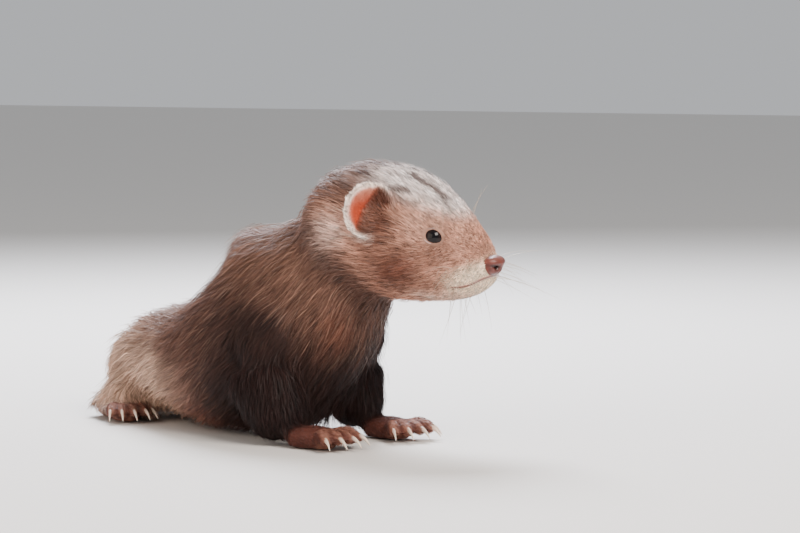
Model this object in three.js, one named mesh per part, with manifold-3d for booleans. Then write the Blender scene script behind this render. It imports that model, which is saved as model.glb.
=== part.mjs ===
// A young ferret at life size, propped on its forelegs with its hindquarters crouched, as a still model.
// Millimetres, +Z up. +X is the way its head and chest face, +Y is its left, and the floor is at Z = 0.
// Every solid reaches to the tips of the coat. Paws, heels and tail rest on small flats on the floor.
import * as THREE from 'three';
import { mergeVertices } from 'three/addons/utils/BufferGeometryUtils.js';
import Module from 'manifold-3d';

const wasm = await Module();
wasm.setup();

// Clearance that touching pieces keep
const GAP = 0.3;

// Head: its own frame has x ahead of the ears' line, y to its left and z above the level of the cheeks
const HEAD_AT = [10, 0, 66];
const HEAD_FRONT = 44.6;
// Roll about the x axis, in degrees: the left ear is the higher one
const HEAD_ROLL = 3;
const HEAD_BACK = -25;
const HEAD_FRONT_ROUNDING = 4.5;
const HEAD_BACK_ROUNDING = 16;
// Each row: x, top, level of the widest place, bottom, half width
const HEAD_STATIONS = [
  [-25, 12, -2, -24, 19],
  [-16, 19, -2, -23, 20],
  [-8, 22.5, -2, -21, 20.5],
  [0, 24.2, -3, -19.5, 20.5],
  [8, 24.2, -4, -19, 20],
  [15, 23.4, -5, -19, 18.6],
  [22, 20.6, -6, -18.8, 16.6],
  [28, 16.4, -7.5, -18.5, 14.6],
  [34, 10.8, -9.5, -17.8, 11.8],
  [38.5, 5.4, -10.4, -16.2, 9.4],
  [41.8, 1.2, -9.9, -13.2, 7.6],
  [44.6, -3, -8.8, -11, 6],
];
// Each row: x, y, z of a swelling or hollow on one side, its radius, and how far it stands out
const HEAD_RELIEF = [
  [32, 13, 8, 4.5, 0.9],
  [30, 13, 2.6, 5, -1.3],
  [35.5, 9, 0, 3.5, -0.7],
  [22, 16, -8, 9, 1.6],
  [40, 8, -11, 4, 1.1],
  [31, 11, -16, 5, 0.6],
  [36, 0, 8, 4, -0.6],
  [12, 17, 12, 7, -1.2],
  [2, 8, 23, 9, 0.9],
];

// Mouth: the lip line seen from the side, in the head's frame, as x, z
const LIP_LINE = [[50, -8.8], [43, -10.4], [40, -12.2], [36.5, -13], [33.5, -12.7], [29.5, -11.2]];
const LIP_GROOVE = 0.6;
const LIP_GROOVE_DEPTH = 1.6;

// Nose leather
const NOSE_AT = [42.9, 0, -7.1];
const NOSE_HALF = [4, 4.5, 3.2];
const NOSTRIL_AT = [2.5, 2.2, -0.4];
const NOSTRIL_RADIUS = 0.85;

// Eyes, on both sides
const EYE_RADIUS = 3.9;
const EYE_AT = [28.3, 9.9, 2.4];
const EYE_LOOKS = [0.42, 0.87, 0.2];
const LID_THICKNESS = 0.85;
const EYE_OPENING = { back: 3.4, front: 4, upper: 2.7, lower: 2.5, droop: 0.3 };

// Ears, on both sides: a round cup that faces out and ahead
const EAR_AT = [10.4, 18.4, 11];
const EAR_FACES = [0.62, 0.76, 0.18];
const EAR_HALF_WIDTH = 8.3;
const EAR_HALF_HEIGHT = 9.1;
const EAR_CUP = 5;
const EAR_THICKNESS = 1.8;

// Trunk: the line of its centres from inside the head to the root of the tail
const TRUNK_LINE = [
  [8, 0, 67], [-3, 0, 58], [-15, 0, 47.5], [-31, 1, 37.5], [-50, 8, 27.5], [-69, 21, 23], [-88, 38, 19], [-105, 55, 14],
];
// Each row: share of that line's length, half width, reach above and below the centre
const TRUNK_SIZES = [
  [0, 17, 17, 20],
  [0.12, 20, 21, 26],
  [0.24, 22.5, 28.5, 31],
  [0.36, 24, 22, 35.5],
  [0.5, 23, 18, 26.5],
  [0.66, 22.5, 17.5, 20],
  [0.82, 24.5, 17.5, 16.5],
  [1, 20, 15, 12.5],
];
const TRUNK_ENDS = [0.04, 0.17];
// Where the trunk is parted, as shares of its length
const TRUNK_CUTS = { neck: 0.215, chest: 0.43, belly: 0.68 };
// The plane that parts head from neck
const HEAD_CUT_AT = [1, 0, 63];
const HEAD_CUT_FACES = [0.77, 0, 0.64];

// Tail, laid on the floor behind
const TAIL_LINE = [[-94, 44, 17], [-106, 57, 12], [-117, 72, 8.4], [-130, 93, 7.6], [-141, 115, 6.6], [-150, 142, 4.4]];
const TAIL_SIZES = [
  [0, 9, 9, 9],
  [0.25, 8.8, 8.8, 8.8],
  [0.5, 8.4, 8, 8],
  [0.8, 7, 6.6, 6.8],
  [1, 4.5, 4, 4.8],
];
const TAIL_CUTS = [0.47, 0.74];

// Forelegs. Each list of centres runs from the shoulder to the wrist
const FORELEGS = {
  right: {
    upper: [[-12, -11, 47], [-19, -15, 36], [-22, -18, 25]],
    lower: [[-21, -19, 29], [-16.5, -20, 16], [-8.5, -20, 3]],
    paw: [-6, -20, 0],
    heading: -4,
  },
  left: {
    upper: [[-8, 11, 46], [-7, 14, 35], [-8, 16, 26]],
    lower: [[-9, 17, 29], [-6.5, 16.5, 16], [-1.5, 16, 3]],
    paw: [1.5, 16, 0],
    heading: -14,
  },
};
const UPPER_ARM_SIZES = [[0, 11, 13, 12], [0.5, 10, 12, 12], [1, 8.5, 10.5, 10.5]];
const FOREARM_SIZES = [[0, 8.5, 11, 12.5], [0.5, 8, 10.2, 12.8], [1, 7, 8, 10.5]];

// Hind legs, in a frame at the pelvis: ahead of it, out from the midline, up
const PELVIS_AT = [-88, 38, 0];
const PELVIS_HEADING = -38;
const THIGH_AT = [0, 15.5, 15.5];
const THIGH_HALF = [17, 11, 14.5];
const THIGH_PITCH = 8;
const SHANK = [[14, 22, 12], [1, 23.5, 8.5], [-11, 24, 6.2]];
const SHANK_SIZES = [[0, 6.5, 7, 7], [1, 5.2, 5.4, 5.4]];
const HIND_FOOT_AT = [-9, 25, 0];

// Feet: the sole's run from wrist or heel to the toes, then five toes that fan out
const FOREFOOT = { sole: 14.5, soleHalf: 6.4, soleHigh: 6, toe: 12, fan: 64, toeRadius: 2.3, arch: 1.7 };
const HINDFOOT = { sole: 27, soleHalf: 5.6, soleHigh: 6, toe: 12, fan: 44, toeRadius: 2.3, arch: 1.7 };
const TOE_REACH = [0.74, 0.96, 1, 0.95, 0.8];
const CLAW = { reach: 5.2, drop: 2.7, radius: 1.05, tip: 0.28, root: 1.2 };

const TOES = [0, 1, 2, 3, 4];
const SIDES = { right: -1, left: 1 };
const UP = new THREE.Vector3(0, 0, 1);
const AHEAD = new THREE.Vector3(1, 0, 0);

const vector = ([x, y, z]) => new THREE.Vector3(x, y, z);
const list = (v) => [v.x, v.y, v.z];
const between = (x, low, high) => Math.min(Math.max(x, low), high);

// Smooth values at x from rows of [x, value, value, ...] in rising order
function through(rows, x) {
  const last = rows.length - 1;
  let i = 0;
  while (i < last - 1 && x > rows[i + 1][0]) i += 1;
  const [a, b, c, d] = [rows[Math.max(i - 1, 0)], rows[i], rows[i + 1], rows[Math.min(i + 2, last)]];
  const width = c[0] - b[0];
  const t = between((x - b[0]) / width, 0, 1);
  return b.slice(1).map((value, k) => {
    const into = ((c[k + 1] - a[k + 1]) / (c[0] - a[0])) * width;
    const out = ((d[k + 1] - value) / (d[0] - b[0])) * width;
    const [t2, t3] = [t * t, t * t * t];
    return (2 * t3 - 3 * t2 + 1) * value + (t3 - 2 * t2 + t) * into
      + (3 * t2 - 2 * t3) * c[k + 1] + (t3 - t2) * out;
  });
}

// A closed three.js geometry as a solid
function solid(geometry) {
  const loose = geometry.index ? geometry.toNonIndexed() : geometry;
  const bare = new THREE.BufferGeometry().setAttribute('position', loose.getAttribute('position'));
  const merged = mergeVertices(bare, 1e-4);
  const triVerts = new Uint32Array(merged.index.array);
  const make = () => new wasm.Manifold(new wasm.Mesh({
    numProp: 3, vertProperties: merged.attributes.position.array, triVerts,
  }));
  const made = make();
  if (made.volume() > 0) return made;
  for (let i = 0; i < triVerts.length; i += 3) {
    [triVerts[i + 1], triVerts[i + 2]] = [triVerts[i + 2], triVerts[i + 1]];
  }
  return make();
}

// A sphere whose vertices are moved: place gives the point for a share of the way from pole to pole and an angle
function wrap(columns, rows, place) {
  const sphere = new THREE.SphereGeometry(1, columns, rows);
  const at = sphere.getAttribute('position');
  for (let i = 0; i < at.count; i += 1) {
    const row = Math.floor(i / (columns + 1));
    const column = (i % (columns + 1)) % columns;
    const p = place(row / rows, (column / columns) * 2 * Math.PI);
    at.setXYZ(i, p.x, p.y, p.z);
  }
  return solid(sphere);
}

// How far a rounded end has opened at a share d of the end's length
const opened = (d) => Math.sqrt(1 - (1 - between(d, 0, 1)) ** 2);

// A round-ended tube along a smooth line, sized by rows of [share, half width, above, below]
function tube(line, sizes, { columns, rows, ends = [0.12, 0.12], reference = UP, grow = 0 }) {
  const curve = new THREE.CatmullRomCurve3(line.map(vector), false, 'centripetal');
  return wrap(columns, rows, (along, angle) => {
    const t = 0.6 * along + 0.4 * (1 - Math.cos(Math.PI * along)) / 2;
    const tangent = curve.getTangentAt(t);
    const side = new THREE.Vector3().crossVectors(reference, tangent).normalize();
    const above = new THREE.Vector3().crossVectors(tangent, side);
    const [half, high, low] = through(sizes, t);
    const open = opened(t / ends[0]) * opened((1 - t) / ends[1]);
    const lift = Math.sin(angle);
    const reach = (lift > 0 ? high : low) + grow;
    const beyond = t < 0.5 ? Math.min(t / ends[0], 1) - 1 : 1 - Math.min((1 - t) / ends[1], 1);
    return curve.getPointAt(t)
      .addScaledVector(tangent, grow * beyond)
      .addScaledVector(side, open * (half + grow) * Math.cos(angle))
      .addScaledVector(above, open * reach * lift);
  });
}

// An ellipsoid, pitched nose down about its y axis and then put in a frame
function lump(at, half, pitch, frame, { columns, rows, grow }) {
  const tilt = new THREE.Matrix4().makeRotationY(THREE.MathUtils.degToRad(pitch)).setPosition(vector(at));
  const place = frame.clone().multiply(tilt);
  return wrap(columns, rows, (along, angle) => {
    const polar = Math.PI * along;
    const ring = Math.sin(polar);
    return new THREE.Vector3(
      (half[0] + grow) * Math.cos(polar),
      (half[1] + grow) * ring * Math.cos(angle),
      (half[2] + grow) * ring * Math.sin(angle),
    ).applyMatrix4(place);
  });
}

// The largest closed surface of a solid
function largest(made) {
  const pieces = made.decompose();
  return pieces.reduce((best, piece) => (piece.volume() > best.volume() ? piece : best));
}

// Keeps the side of a plane that its normal faces, half a gap back from it
function keep(made, at, facing) {
  const normal = facing.clone().normalize();
  return made.trimByPlane(list(normal), normal.dot(at) + GAP / 2);
}

// The part of a tube-like solid between two places along its own line
function stretch(made, line, from, to) {
  const curve = new THREE.CatmullRomCurve3(line.map(vector), false, 'centripetal');
  let piece = made;
  if (from > 0) piece = keep(piece, curve.getPointAt(from), curve.getTangentAt(from));
  if (to < 1) piece = keep(piece, curve.getPointAt(to), curve.getTangentAt(to).negate());
  return largest(piece);
}

const onFloor = (made) => made.trimByPlane([0, 0, 1], 0);

// A frame that looks along facing, with its second axis as near as it can be to up
function facingFrame(at, facing, up = UP) {
  const z = vector(facing).normalize();
  const x = new THREE.Vector3().crossVectors(up, z).normalize();
  const y = new THREE.Vector3().crossVectors(z, x);
  return new THREE.Matrix4().makeBasis(x, y, z).setPosition(vector(at));
}

// Head

// How far the head's surface stands out at a place by its relief
function relief(p) {
  return HEAD_RELIEF.reduce((sum, [x, y, z, radius, amount]) => {
    const away = (p.x - x) ** 2 + (Math.abs(p.y) - y) ** 2 + (p.z - z) ** 2;
    return sum + amount * Math.exp(-away / radius ** 2);
  }, 0);
}

function headShape(grow, columns = 34, rows = 30) {
  return wrap(columns, rows, (along, angle) => {
    const front = HEAD_FRONT + grow;
    const back = HEAD_BACK - grow;
    const x = front + (back - front) * (0.45 * along + 0.55 * along ** 2);
    const [top, widest, bottom, half] = through(HEAD_STATIONS, between(x, HEAD_BACK, HEAD_FRONT));
    const open = opened((front - x) / HEAD_FRONT_ROUNDING) * opened((x - back) / HEAD_BACK_ROUNDING);
    const lift = Math.sin(angle);
    const reach = lift > 0 ? top - widest : widest - bottom;
    const p = new THREE.Vector3(x, open * half * Math.cos(angle), widest + open * reach * lift);
    const out = new THREE.Vector3(0, Math.cos(angle), lift);
    return p.addScaledVector(out, open * (relief(p) + grow));
  });
}

function noseShape(grow) {
  return wrap(16, 10, (along, angle) => {
    const polar = Math.PI * along;
    const squared = (s) => Math.sign(s) * Math.abs(s) ** 0.86;
    const x = squared(Math.cos(polar));
    const ring = Math.sin(polar) ** 0.9;
    const z = squared(Math.sin(angle)) * ring;
    // The pad is wide above and narrows to the lip
    const taper = 1 + 0.16 * z;
    return new THREE.Vector3(
      NOSE_AT[0] + (NOSE_HALF[0] + grow) * x + 0.9 * z,
      (NOSE_HALF[1] + grow) * squared(Math.cos(angle)) * ring * taper,
      NOSE_AT[2] + (NOSE_HALF[2] + grow) * z,
    );
  });
}

function nostril(side) {
  const [x, y, z] = NOSTRIL_AT.map((value, k) => value + NOSE_AT[k]);
  const line = [[x - 2.6, side * (y + 3.4), z + 1.3], [x - 0.6, side * (y + 1.9), z - 0.5], [x + 0.2, side * y, z - 0.2],
    [x - 1.4, side * (y - 0.9), z + 0.1]];
  const sizes = [[0, 0.4, 0.4, 0.4], [0.5, 0.55, 0.55, 0.55], [0.8, NOSTRIL_RADIUS, NOSTRIL_RADIUS, NOSTRIL_RADIUS],
    [1, NOSTRIL_RADIUS, NOSTRIL_RADIUS, NOSTRIL_RADIUS]];
  return tube(line, sizes, { columns: 8, rows: 8, ends: [0.1, 0.2] });
}

// A ball at one eye
function eyeBall(side, radius, columns, rows) {
  const [x, y, z] = EYE_AT;
  const ball = new THREE.SphereGeometry(radius, columns, rows);
  return solid(ball.translate(x, side * y, z));
}

// The almond between the lids, as a prism out of the eye
function eyeOpening(side) {
  const { back, front, upper, lower, droop } = EYE_OPENING;
  const almond = new THREE.Shape();
  almond.moveTo(-back, 0);
  almond.bezierCurveTo(-back, upper * 1.25, front * 0.35, upper * 1.3, front, -droop * 2);
  almond.bezierCurveTo(front * 0.5, -lower * 1.25, -back, -lower * 1.3, -back, 0);
  const prism = new THREE.ExtrudeGeometry(almond, { depth: 9, bevelEnabled: false, curveSegments: 8 });
  const [x, y, z] = EYE_AT;
  const looks = vector([EYE_LOOKS[0], side * EYE_LOOKS[1], EYE_LOOKS[2]]).normalize();
  // The opening's long axis runs down towards the nose
  const long = new THREE.Vector3(0.87, side * -0.42, -droop).projectOnPlane(looks).normalize();
  const across = new THREE.Vector3().crossVectors(looks, long);
  if (across.z < 0) across.negate();
  const frame = new THREE.Matrix4().makeBasis(long, across, looks);
  return solid(prism.applyMatrix4(frame.setPosition(x, side * y, z)));
}

// The groove between the lips, as deep as the skin that it parts
function lipGroove() {
  const curve = new THREE.SplineCurve(LIP_LINE.map(([x, z]) => new THREE.Vector2(x, z)));
  const points = curve.getPoints(12);
  const edge = (offset) => points.map((p) => new THREE.Vector2(p.x, p.y + offset));
  const outline = [...edge(LIP_GROOVE / 2), ...edge(-LIP_GROOVE / 2).reverse()];
  const blade = new THREE.ExtrudeGeometry(new THREE.Shape(outline), { depth: 40, bevelEnabled: false });
  blade.translate(0, 0, -20).rotateX(Math.PI / 2);
  return solid(blade).subtract(headShape(-LIP_GROOVE_DEPTH, 18, 18));
}

const headMatrix = new THREE.Matrix4().makeRotationX(THREE.MathUtils.degToRad(HEAD_ROLL)).setPosition(...HEAD_AT);
const inPlace = (made) => made.transform(headMatrix.elements);

function earShape(side, grow = 0) {
  const [fx, fy, fz] = EAR_FACES;
  const frame = facingFrame([EAR_AT[0], side * EAR_AT[1], EAR_AT[2]], [fx, side * fy, fz]);
  return wrap(24, 10, (along, angle) => {
    const polar = Math.PI * along;
    const r = Math.sin(polar);
    const inside = Math.cos(polar) > 0 ? 1 : -1;
    // The rear rim curls ahead, and the cup is deepest low down
    const towardRear = Math.cos(angle) * -side;
    const curl = EAR_CUP * (r ** 2 - 1) + 1.1 * r ** 2 * towardRear;
    const wall = inside * (EAR_THICKNESS / 2 + grow) * Math.sqrt(Math.max(0, 1 - r ** 6));
    const high = Math.sin(angle);
    const outline = 1 - 0.08 * Math.max(0, high) * Math.abs(Math.cos(angle));
    return new THREE.Vector3(
      (EAR_HALF_WIDTH + grow) * r * outline * Math.cos(angle),
      (EAR_HALF_HEIGHT + grow) * r * outline * high,
      curl + wall,
    ).applyMatrix4(frame);
  });
}

// Trunk
const trunkShape = (grow) => tube(TRUNK_LINE, TRUNK_SIZES, {
  columns: 28, rows: 32, ends: TRUNK_ENDS, grow,
});

// Feet

// A foot's own frame: x ahead, y to the animal's left, on the floor
function footFrame(at, heading) {
  return new THREE.Matrix4().makeRotationZ(THREE.MathUtils.degToRad(heading)).setPosition(at[0], at[1], 0);
}

// One toe's line of centres in the foot's frame, and the direction it points
function toeLine(foot, toe) {
  const spread = THREE.MathUtils.degToRad(foot.fan * (0.5 - toe / (TOES.length - 1)));
  const ahead = new THREE.Vector3(Math.cos(spread), Math.sin(spread), 0);
  const across = (0.5 - toe / (TOES.length - 1)) * 1.5 * foot.soleHalf;
  const reach = foot.toe * TOE_REACH[toe];
  const root = new THREE.Vector3(foot.sole * 0.68, across * 0.7, 3.4);
  const points = [[0, 0], [0.5, foot.arch], [0.86, 0.3], [1, -0.9]].map(([share, rise]) => (
    root.clone().addScaledVector(ahead, reach * share).add(new THREE.Vector3(0, across * 0.3 * share, rise))
  ));
  return { points: points.map(list), ahead, tip: points[3], knuckle: points[2] };
}

function toeShape(foot, toe, grow) {
  const r = foot.toeRadius;
  const sizes = [[0, r * 1.05, r, r], [0.6, r * 0.92, r * 0.95, r], [1, r * 0.9, r * 0.85, r]];
  return tube(toeLine(foot, toe).points, sizes, { columns: 8, rows: 6, ends: [0.15, 0.26], grow });
}

function soleShape(foot, grow) {
  const line = [[-4, 0, 4], [foot.sole * 0.5, 0, 4], [foot.sole + 0.5, 0, 3.4]];
  const sizes = [[0, foot.soleHalf * 0.85, foot.soleHigh * 0.5, 5], [0.6, foot.soleHalf, foot.soleHigh * 0.52, 5],
    [1, foot.soleHalf * 0.95, 2.4, 5]];
  return tube(line, sizes, { columns: 12, rows: 8, ends: [0.25, 0.25], grow });
}

function footShape(foot, grow) {
  return TOES.reduce((sum, toe) => sum.add(toeShape(foot, toe, grow)), soleShape(foot, grow));
}

// A claw, curved down out of the end of its toe
function clawShape(foot, toe) {
  const { ahead, tip } = toeLine(foot, toe);
  const step = (share, drop) => tip.clone()
    .addScaledVector(ahead, CLAW.reach * share - CLAW.root)
    .add(new THREE.Vector3(0, 0, 1.7 - drop));
  const line = [step(-0.1, 0.2), step(0.3, 0), step(0.7, CLAW.drop * 0.35), step(1.05, CLAW.drop)].map(list);
  const r = CLAW.radius;
  const sizes = [[0, r * 0.8, r, r], [0.4, r * 0.7, r, r], [1, CLAW.tip, CLAW.tip, CLAW.tip]];
  return tube(line, sizes, { columns: 6, rows: 5, ends: [0.1, 0.12] });
}

// Assembly: later pieces give way to the earlier ones that they grow from

const group = new THREE.Group();
const nodes = [];

function addNode(name, made, color, roughness) {
  const mesh = largest(made).getMesh();
  const geometry = new THREE.BufferGeometry();
  geometry.setAttribute('position', new THREE.BufferAttribute(mesh.vertProperties, 3));
  geometry.setIndex(new THREE.BufferAttribute(mesh.triVerts, 1));
  geometry.computeVertexNormals();
  const node = new THREE.Mesh(geometry, new THREE.MeshStandardMaterial({ color, roughness, metalness: 0 }));
  node.name = name;
  nodes.push(node);
  group.add(node);
}

const COAT = { face: '#b08f7c', neck: '#6a4b3e', body: '#75584a', legs: '#2c1c1b', rump: '#a5856d', paws: '#7a4638' };
const FUR_ROUGHNESS = 0.9;

// Head and neck, parted behind the ears
const trunk = trunkShape(0);
const trunkAround = trunkShape(GAP);
const headAlone = inPlace(headShape(0));
const headAround = inPlace(headShape(GAP));
const noseAround = inPlace(noseShape(GAP));
let head = keep(headAlone.add(trunk), vector(HEAD_CUT_AT), vector(HEAD_CUT_FACES));
for (const side of Object.values(SIDES)) {
  head = head
    .add(inPlace(eyeBall(side, EYE_RADIUS + GAP + LID_THICKNESS, 20, 12)))
    .subtract(inPlace(eyeBall(side, EYE_RADIUS + GAP, 16, 10)))
    .subtract(inPlace(eyeOpening(side)));
}
head = head.subtract(inPlace(lipGroove())).subtract(noseAround);
addNode('head', head, COAT.face, FUR_ROUGHNESS);

const nose = Object.values(SIDES).reduce((made, side) => made.subtract(nostril(side)), noseShape(0));
addNode('nose', inPlace(nose), '#8f5a56', 0.45);
for (const [name, side] of Object.entries(SIDES)) {
  addNode(`eye_${name}`, inPlace(eyeBall(side, EYE_RADIUS, 16, 12)), '#0d0b10', 0.08);
  addNode(`ear_${name}`, inPlace(earShape(side)).subtract(headAround).subtract(trunkAround), COAT.face, FUR_ROUGHNESS);
}

const headCut = { at: vector(HEAD_CUT_AT), facing: vector(HEAD_CUT_FACES).negate() };
const neckUp = keep(headAlone.add(trunk), headCut.at, headCut.facing);
addNode('neck', stretch(neckUp, TRUNK_LINE, 0, TRUNK_CUTS.neck), COAT.neck, FUR_ROUGHNESS);
const behindHead = keep(trunk, headCut.at, headCut.facing);
addNode('chest', stretch(behindHead, TRUNK_LINE, TRUNK_CUTS.neck, TRUNK_CUTS.chest), COAT.body, FUR_ROUGHNESS);
addNode('belly', stretch(behindHead, TRUNK_LINE, TRUNK_CUTS.chest, TRUNK_CUTS.belly), COAT.body, FUR_ROUGHNESS);
addNode('rump', stretch(behindHead, TRUNK_LINE, TRUNK_CUTS.belly, 1), COAT.rump, FUR_ROUGHNESS);

// Tail
const tail = onFloor(tube(TAIL_LINE, TAIL_SIZES, { columns: 14, rows: 22, ends: [0.06, 0.1] })).subtract(trunkAround);
addNode('tail_base', stretch(tail, TAIL_LINE, 0, TAIL_CUTS[0]), COAT.neck, FUR_ROUGHNESS);
addNode('tail_middle', stretch(tail, TAIL_LINE, TAIL_CUTS[0], TAIL_CUTS[1]), COAT.neck, FUR_ROUGHNESS);
addNode('tail_tip', stretch(tail, TAIL_LINE, TAIL_CUTS[1], 1), COAT.legs, FUR_ROUGHNESS);

// A foot with its claws, given way to what is above it
function addFoot(name, foot, frame, above) {
  const placed = (made) => made.transform(frame.elements);
  const whole = above.reduce((made, shape) => made.subtract(shape), onFloor(placed(footShape(foot, 0))));
  addNode(name, whole, COAT.paws, 0.8);
  for (const toe of TOES) {
    const claw = onFloor(placed(clawShape(foot, toe))).subtract(placed(toeShape(foot, toe, GAP)));
    addNode(`${name}_claw_${toe + 1}`, claw, '#e8d8cb', 0.35);
  }
}

// Forelegs
for (const [name, leg] of Object.entries(FORELEGS)) {
  const options = { columns: 16, rows: 10, ends: [0.3, 0.3], reference: AHEAD };
  const upperShape = (grow) => tube(leg.upper, UPPER_ARM_SIZES, { ...options, grow });
  const lowerShape = (grow) => tube(leg.lower, FOREARM_SIZES, { ...options, ends: [0.25, 0.3], grow });
  const around = [trunkAround, headAround];
  const upper = around.reduce((made, shape) => made.subtract(shape), upperShape(0));
  addNode(`upper_arm_${name}`, upper, COAT.legs, FUR_ROUGHNESS);
  const lower = [...around, upperShape(GAP)].reduce((made, shape) => made.subtract(shape), lowerShape(0));
  addNode(`forearm_${name}`, onFloor(lower), COAT.legs, FUR_ROUGHNESS);
  addFoot(`forepaw_${name}`, FOREFOOT, footFrame(leg.paw, leg.heading), [lowerShape(GAP), upperShape(GAP), trunkAround]);
}

// Hind legs
for (const [name, side] of Object.entries(SIDES)) {
  const frame = footFrame(PELVIS_AT, PELVIS_HEADING);
  const place = (line) => line.map(([ahead, out, up]) => list(vector([ahead, side * out, up]).applyMatrix4(frame)));
  const options = { columns: 16, rows: 10, ends: [0.35, 0.35], reference: UP };
  const thighAt = [THIGH_AT[0], side * THIGH_AT[1], THIGH_AT[2]];
  const thighShape = (grow) => lump(thighAt, THIGH_HALF, THIGH_PITCH, frame, { columns: 20, rows: 12, grow });
  const shankShape = (grow) => tube(place(SHANK), SHANK_SIZES, { ...options, columns: 14, ends: [0.2, 0.2], grow });
  const thigh = onFloor(thighShape(0)).subtract(trunkAround);
  addNode(`thigh_${name}`, thigh, COAT.rump, FUR_ROUGHNESS);
  const shank = onFloor(shankShape(0)).subtract(trunkAround).subtract(thighShape(GAP));
  addNode(`shank_${name}`, shank, COAT.legs, FUR_ROUGHNESS);
  const [heel] = place([HIND_FOOT_AT]);
  const above = [trunkAround, thighShape(GAP), shankShape(GAP)];
  addFoot(`hindfoot_${name}`, HINDFOOT, footFrame(heel, PELVIS_HEADING), above);
}

// The origin is on the floor, under the middle of the whole
const box = new THREE.Box3().setFromObject(group);
const middle = box.getCenter(new THREE.Vector3());
group.position.set(-middle.x, -middle.y, -box.min.z);

export default group;
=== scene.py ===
"""A young ferret as a still, life-size museum model, dressed in skin, fur, eyes, claws and whiskers."""
import logging
import math
from dataclasses import dataclass, field
from enum import Enum

import bmesh
import bpy
import numpy as np
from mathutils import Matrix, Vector, kdtree
from mathutils.bvhtree import BVHTree


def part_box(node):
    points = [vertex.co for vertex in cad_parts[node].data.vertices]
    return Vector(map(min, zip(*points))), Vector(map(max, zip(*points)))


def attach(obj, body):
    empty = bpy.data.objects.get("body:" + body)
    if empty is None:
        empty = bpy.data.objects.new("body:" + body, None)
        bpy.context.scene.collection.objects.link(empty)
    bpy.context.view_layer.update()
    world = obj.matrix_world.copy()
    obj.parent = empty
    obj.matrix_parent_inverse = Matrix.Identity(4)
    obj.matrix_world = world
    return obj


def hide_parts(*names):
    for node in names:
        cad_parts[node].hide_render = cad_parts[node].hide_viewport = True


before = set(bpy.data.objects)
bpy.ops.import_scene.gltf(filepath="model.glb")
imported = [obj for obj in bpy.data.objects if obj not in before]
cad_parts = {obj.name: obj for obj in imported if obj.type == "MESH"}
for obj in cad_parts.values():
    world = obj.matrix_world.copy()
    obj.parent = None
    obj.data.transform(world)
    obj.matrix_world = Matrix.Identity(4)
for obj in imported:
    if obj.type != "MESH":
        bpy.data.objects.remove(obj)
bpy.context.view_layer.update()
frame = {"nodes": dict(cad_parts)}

LOG = logging.getLogger("ferret")
MM = 0.001
ROOT = "root"
TINT = "tint"
UV_MAP = "OFBake"
SEED = 7
TOES = 5


class Side(Enum):
    """The animal's own right and left, with the sign of its Y axis."""

    RIGHT = -1
    LEFT = 1


SIDES = {Side.RIGHT: "right", Side.LEFT: "left"}


# Sizes and places, in the millimetres of the working frame that the solids are drawn in


@dataclass(frozen=True)
class HeadPlan:
    """Where the head is and where its features are, in its own frame."""

    at: tuple[float, float, float] = (10, 0, 66)
    roll: float = 3
    nose: tuple[float, float, float] = (42.9, 0, -7.1)
    nose_half: tuple[float, float, float] = (4, 4.5, 3.2)
    eye: tuple[float, float, float] = (28.3, 9.9, 2.4)
    eye_looks: tuple[float, float, float] = (0.42, 0.87, 0.2)
    eye_radius: float = 3.9
    ear: tuple[float, float, float] = (10.4, 18.4, 11)
    ear_faces: tuple[float, float, float] = (0.62, 0.76, 0.18)
    ear_half: tuple[float, float] = (8.3, 9.1)
    ear_cup: float = 5
    lie_from: tuple[float, float, float] = (44.0, 0, -5.0)
    muzzle_axis: float = 36
    muzzle_back: float = 6.5
    face_from: float = 18
    cut_at: tuple[float, float, float] = (1, 0, 63)
    cut_faces: tuple[float, float, float] = (0.77, 0, 0.64)
    lip_line: tuple[tuple[float, float], ...] = (
        (46, -9.3), (43, -10.4), (40, -12.2), (36.5, -13), (33.5, -12.7), (29.5, -11.2),
    )


@dataclass(frozen=True)
class BodyPlan:
    """Centre lines of trunk, tail and limbs."""

    trunk: tuple = (
        (8, 0, 67), (-3, 0, 58), (-15, 0, 47.5), (-31, 1, 37.5),
        (-50, 8, 27.5), (-69, 21, 23), (-88, 38, 19), (-105, 55, 14),
    )
    tail: tuple = (
        (-94, 44, 17), (-106, 57, 12), (-117, 72, 8.4), (-130, 93, 7.6), (-141, 115, 6.6), (-150, 142, 4.4),
    )
    foreleg_right: tuple = ((-12, -11, 47), (-19, -15, 36), (-21, -19, 27), (-16.5, -20, 16), (-8.5, -20, 3))
    foreleg_left: tuple = ((-8, 11, 46), (-7, 14, 35), (-9, 17, 27), (-6.5, 16.5, 16), (-1.5, 16, 3))
    pelvis: tuple[float, float] = (-88, 38)
    pelvis_heading: float = -38
    hind_foot: tuple[float, float] = (-9, 25)
    paw_right: tuple[float, float, float] = (-6, -20, -4)
    paw_left: tuple[float, float, float] = (1.5, 16, -14)


@dataclass(frozen=True)
class FootPlan:
    """One foot's sole and the fan of its toes."""

    sole: float
    sole_half: float
    toe: float
    fan: float
    reach: tuple[float, ...] = (0.74, 0.96, 1, 0.95, 0.8)


FOREFOOT = FootPlan(sole=14.5, sole_half=6.4, toe=12, fan=64)
HINDFOOT = FootPlan(sole=27, sole_half=5.6, toe=12, fan=44)


@dataclass(frozen=True)
class ClawPlan:
    """The claw's length past its toe, its drop and its thickness."""

    reach: float = 4.7
    drop: float = 2.9
    radius: float = 0.95
    tip: float = 0.14
    root: float = 2.2


HEAD = HeadPlan()
BODY = BodyPlan()
CLAW = ClawPlan()

FLESH = (
    "head", "neck", "chest", "belly", "rump", "tail_base", "tail_middle", "tail_tip",
    "ear_left", "ear_right", "upper_arm_left", "upper_arm_right", "forearm_left", "forearm_right",
    "forepaw_left", "forepaw_right", "thigh_left", "thigh_right", "shank_left", "shank_right",
    "hindfoot_left", "hindfoot_right",
)
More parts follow.
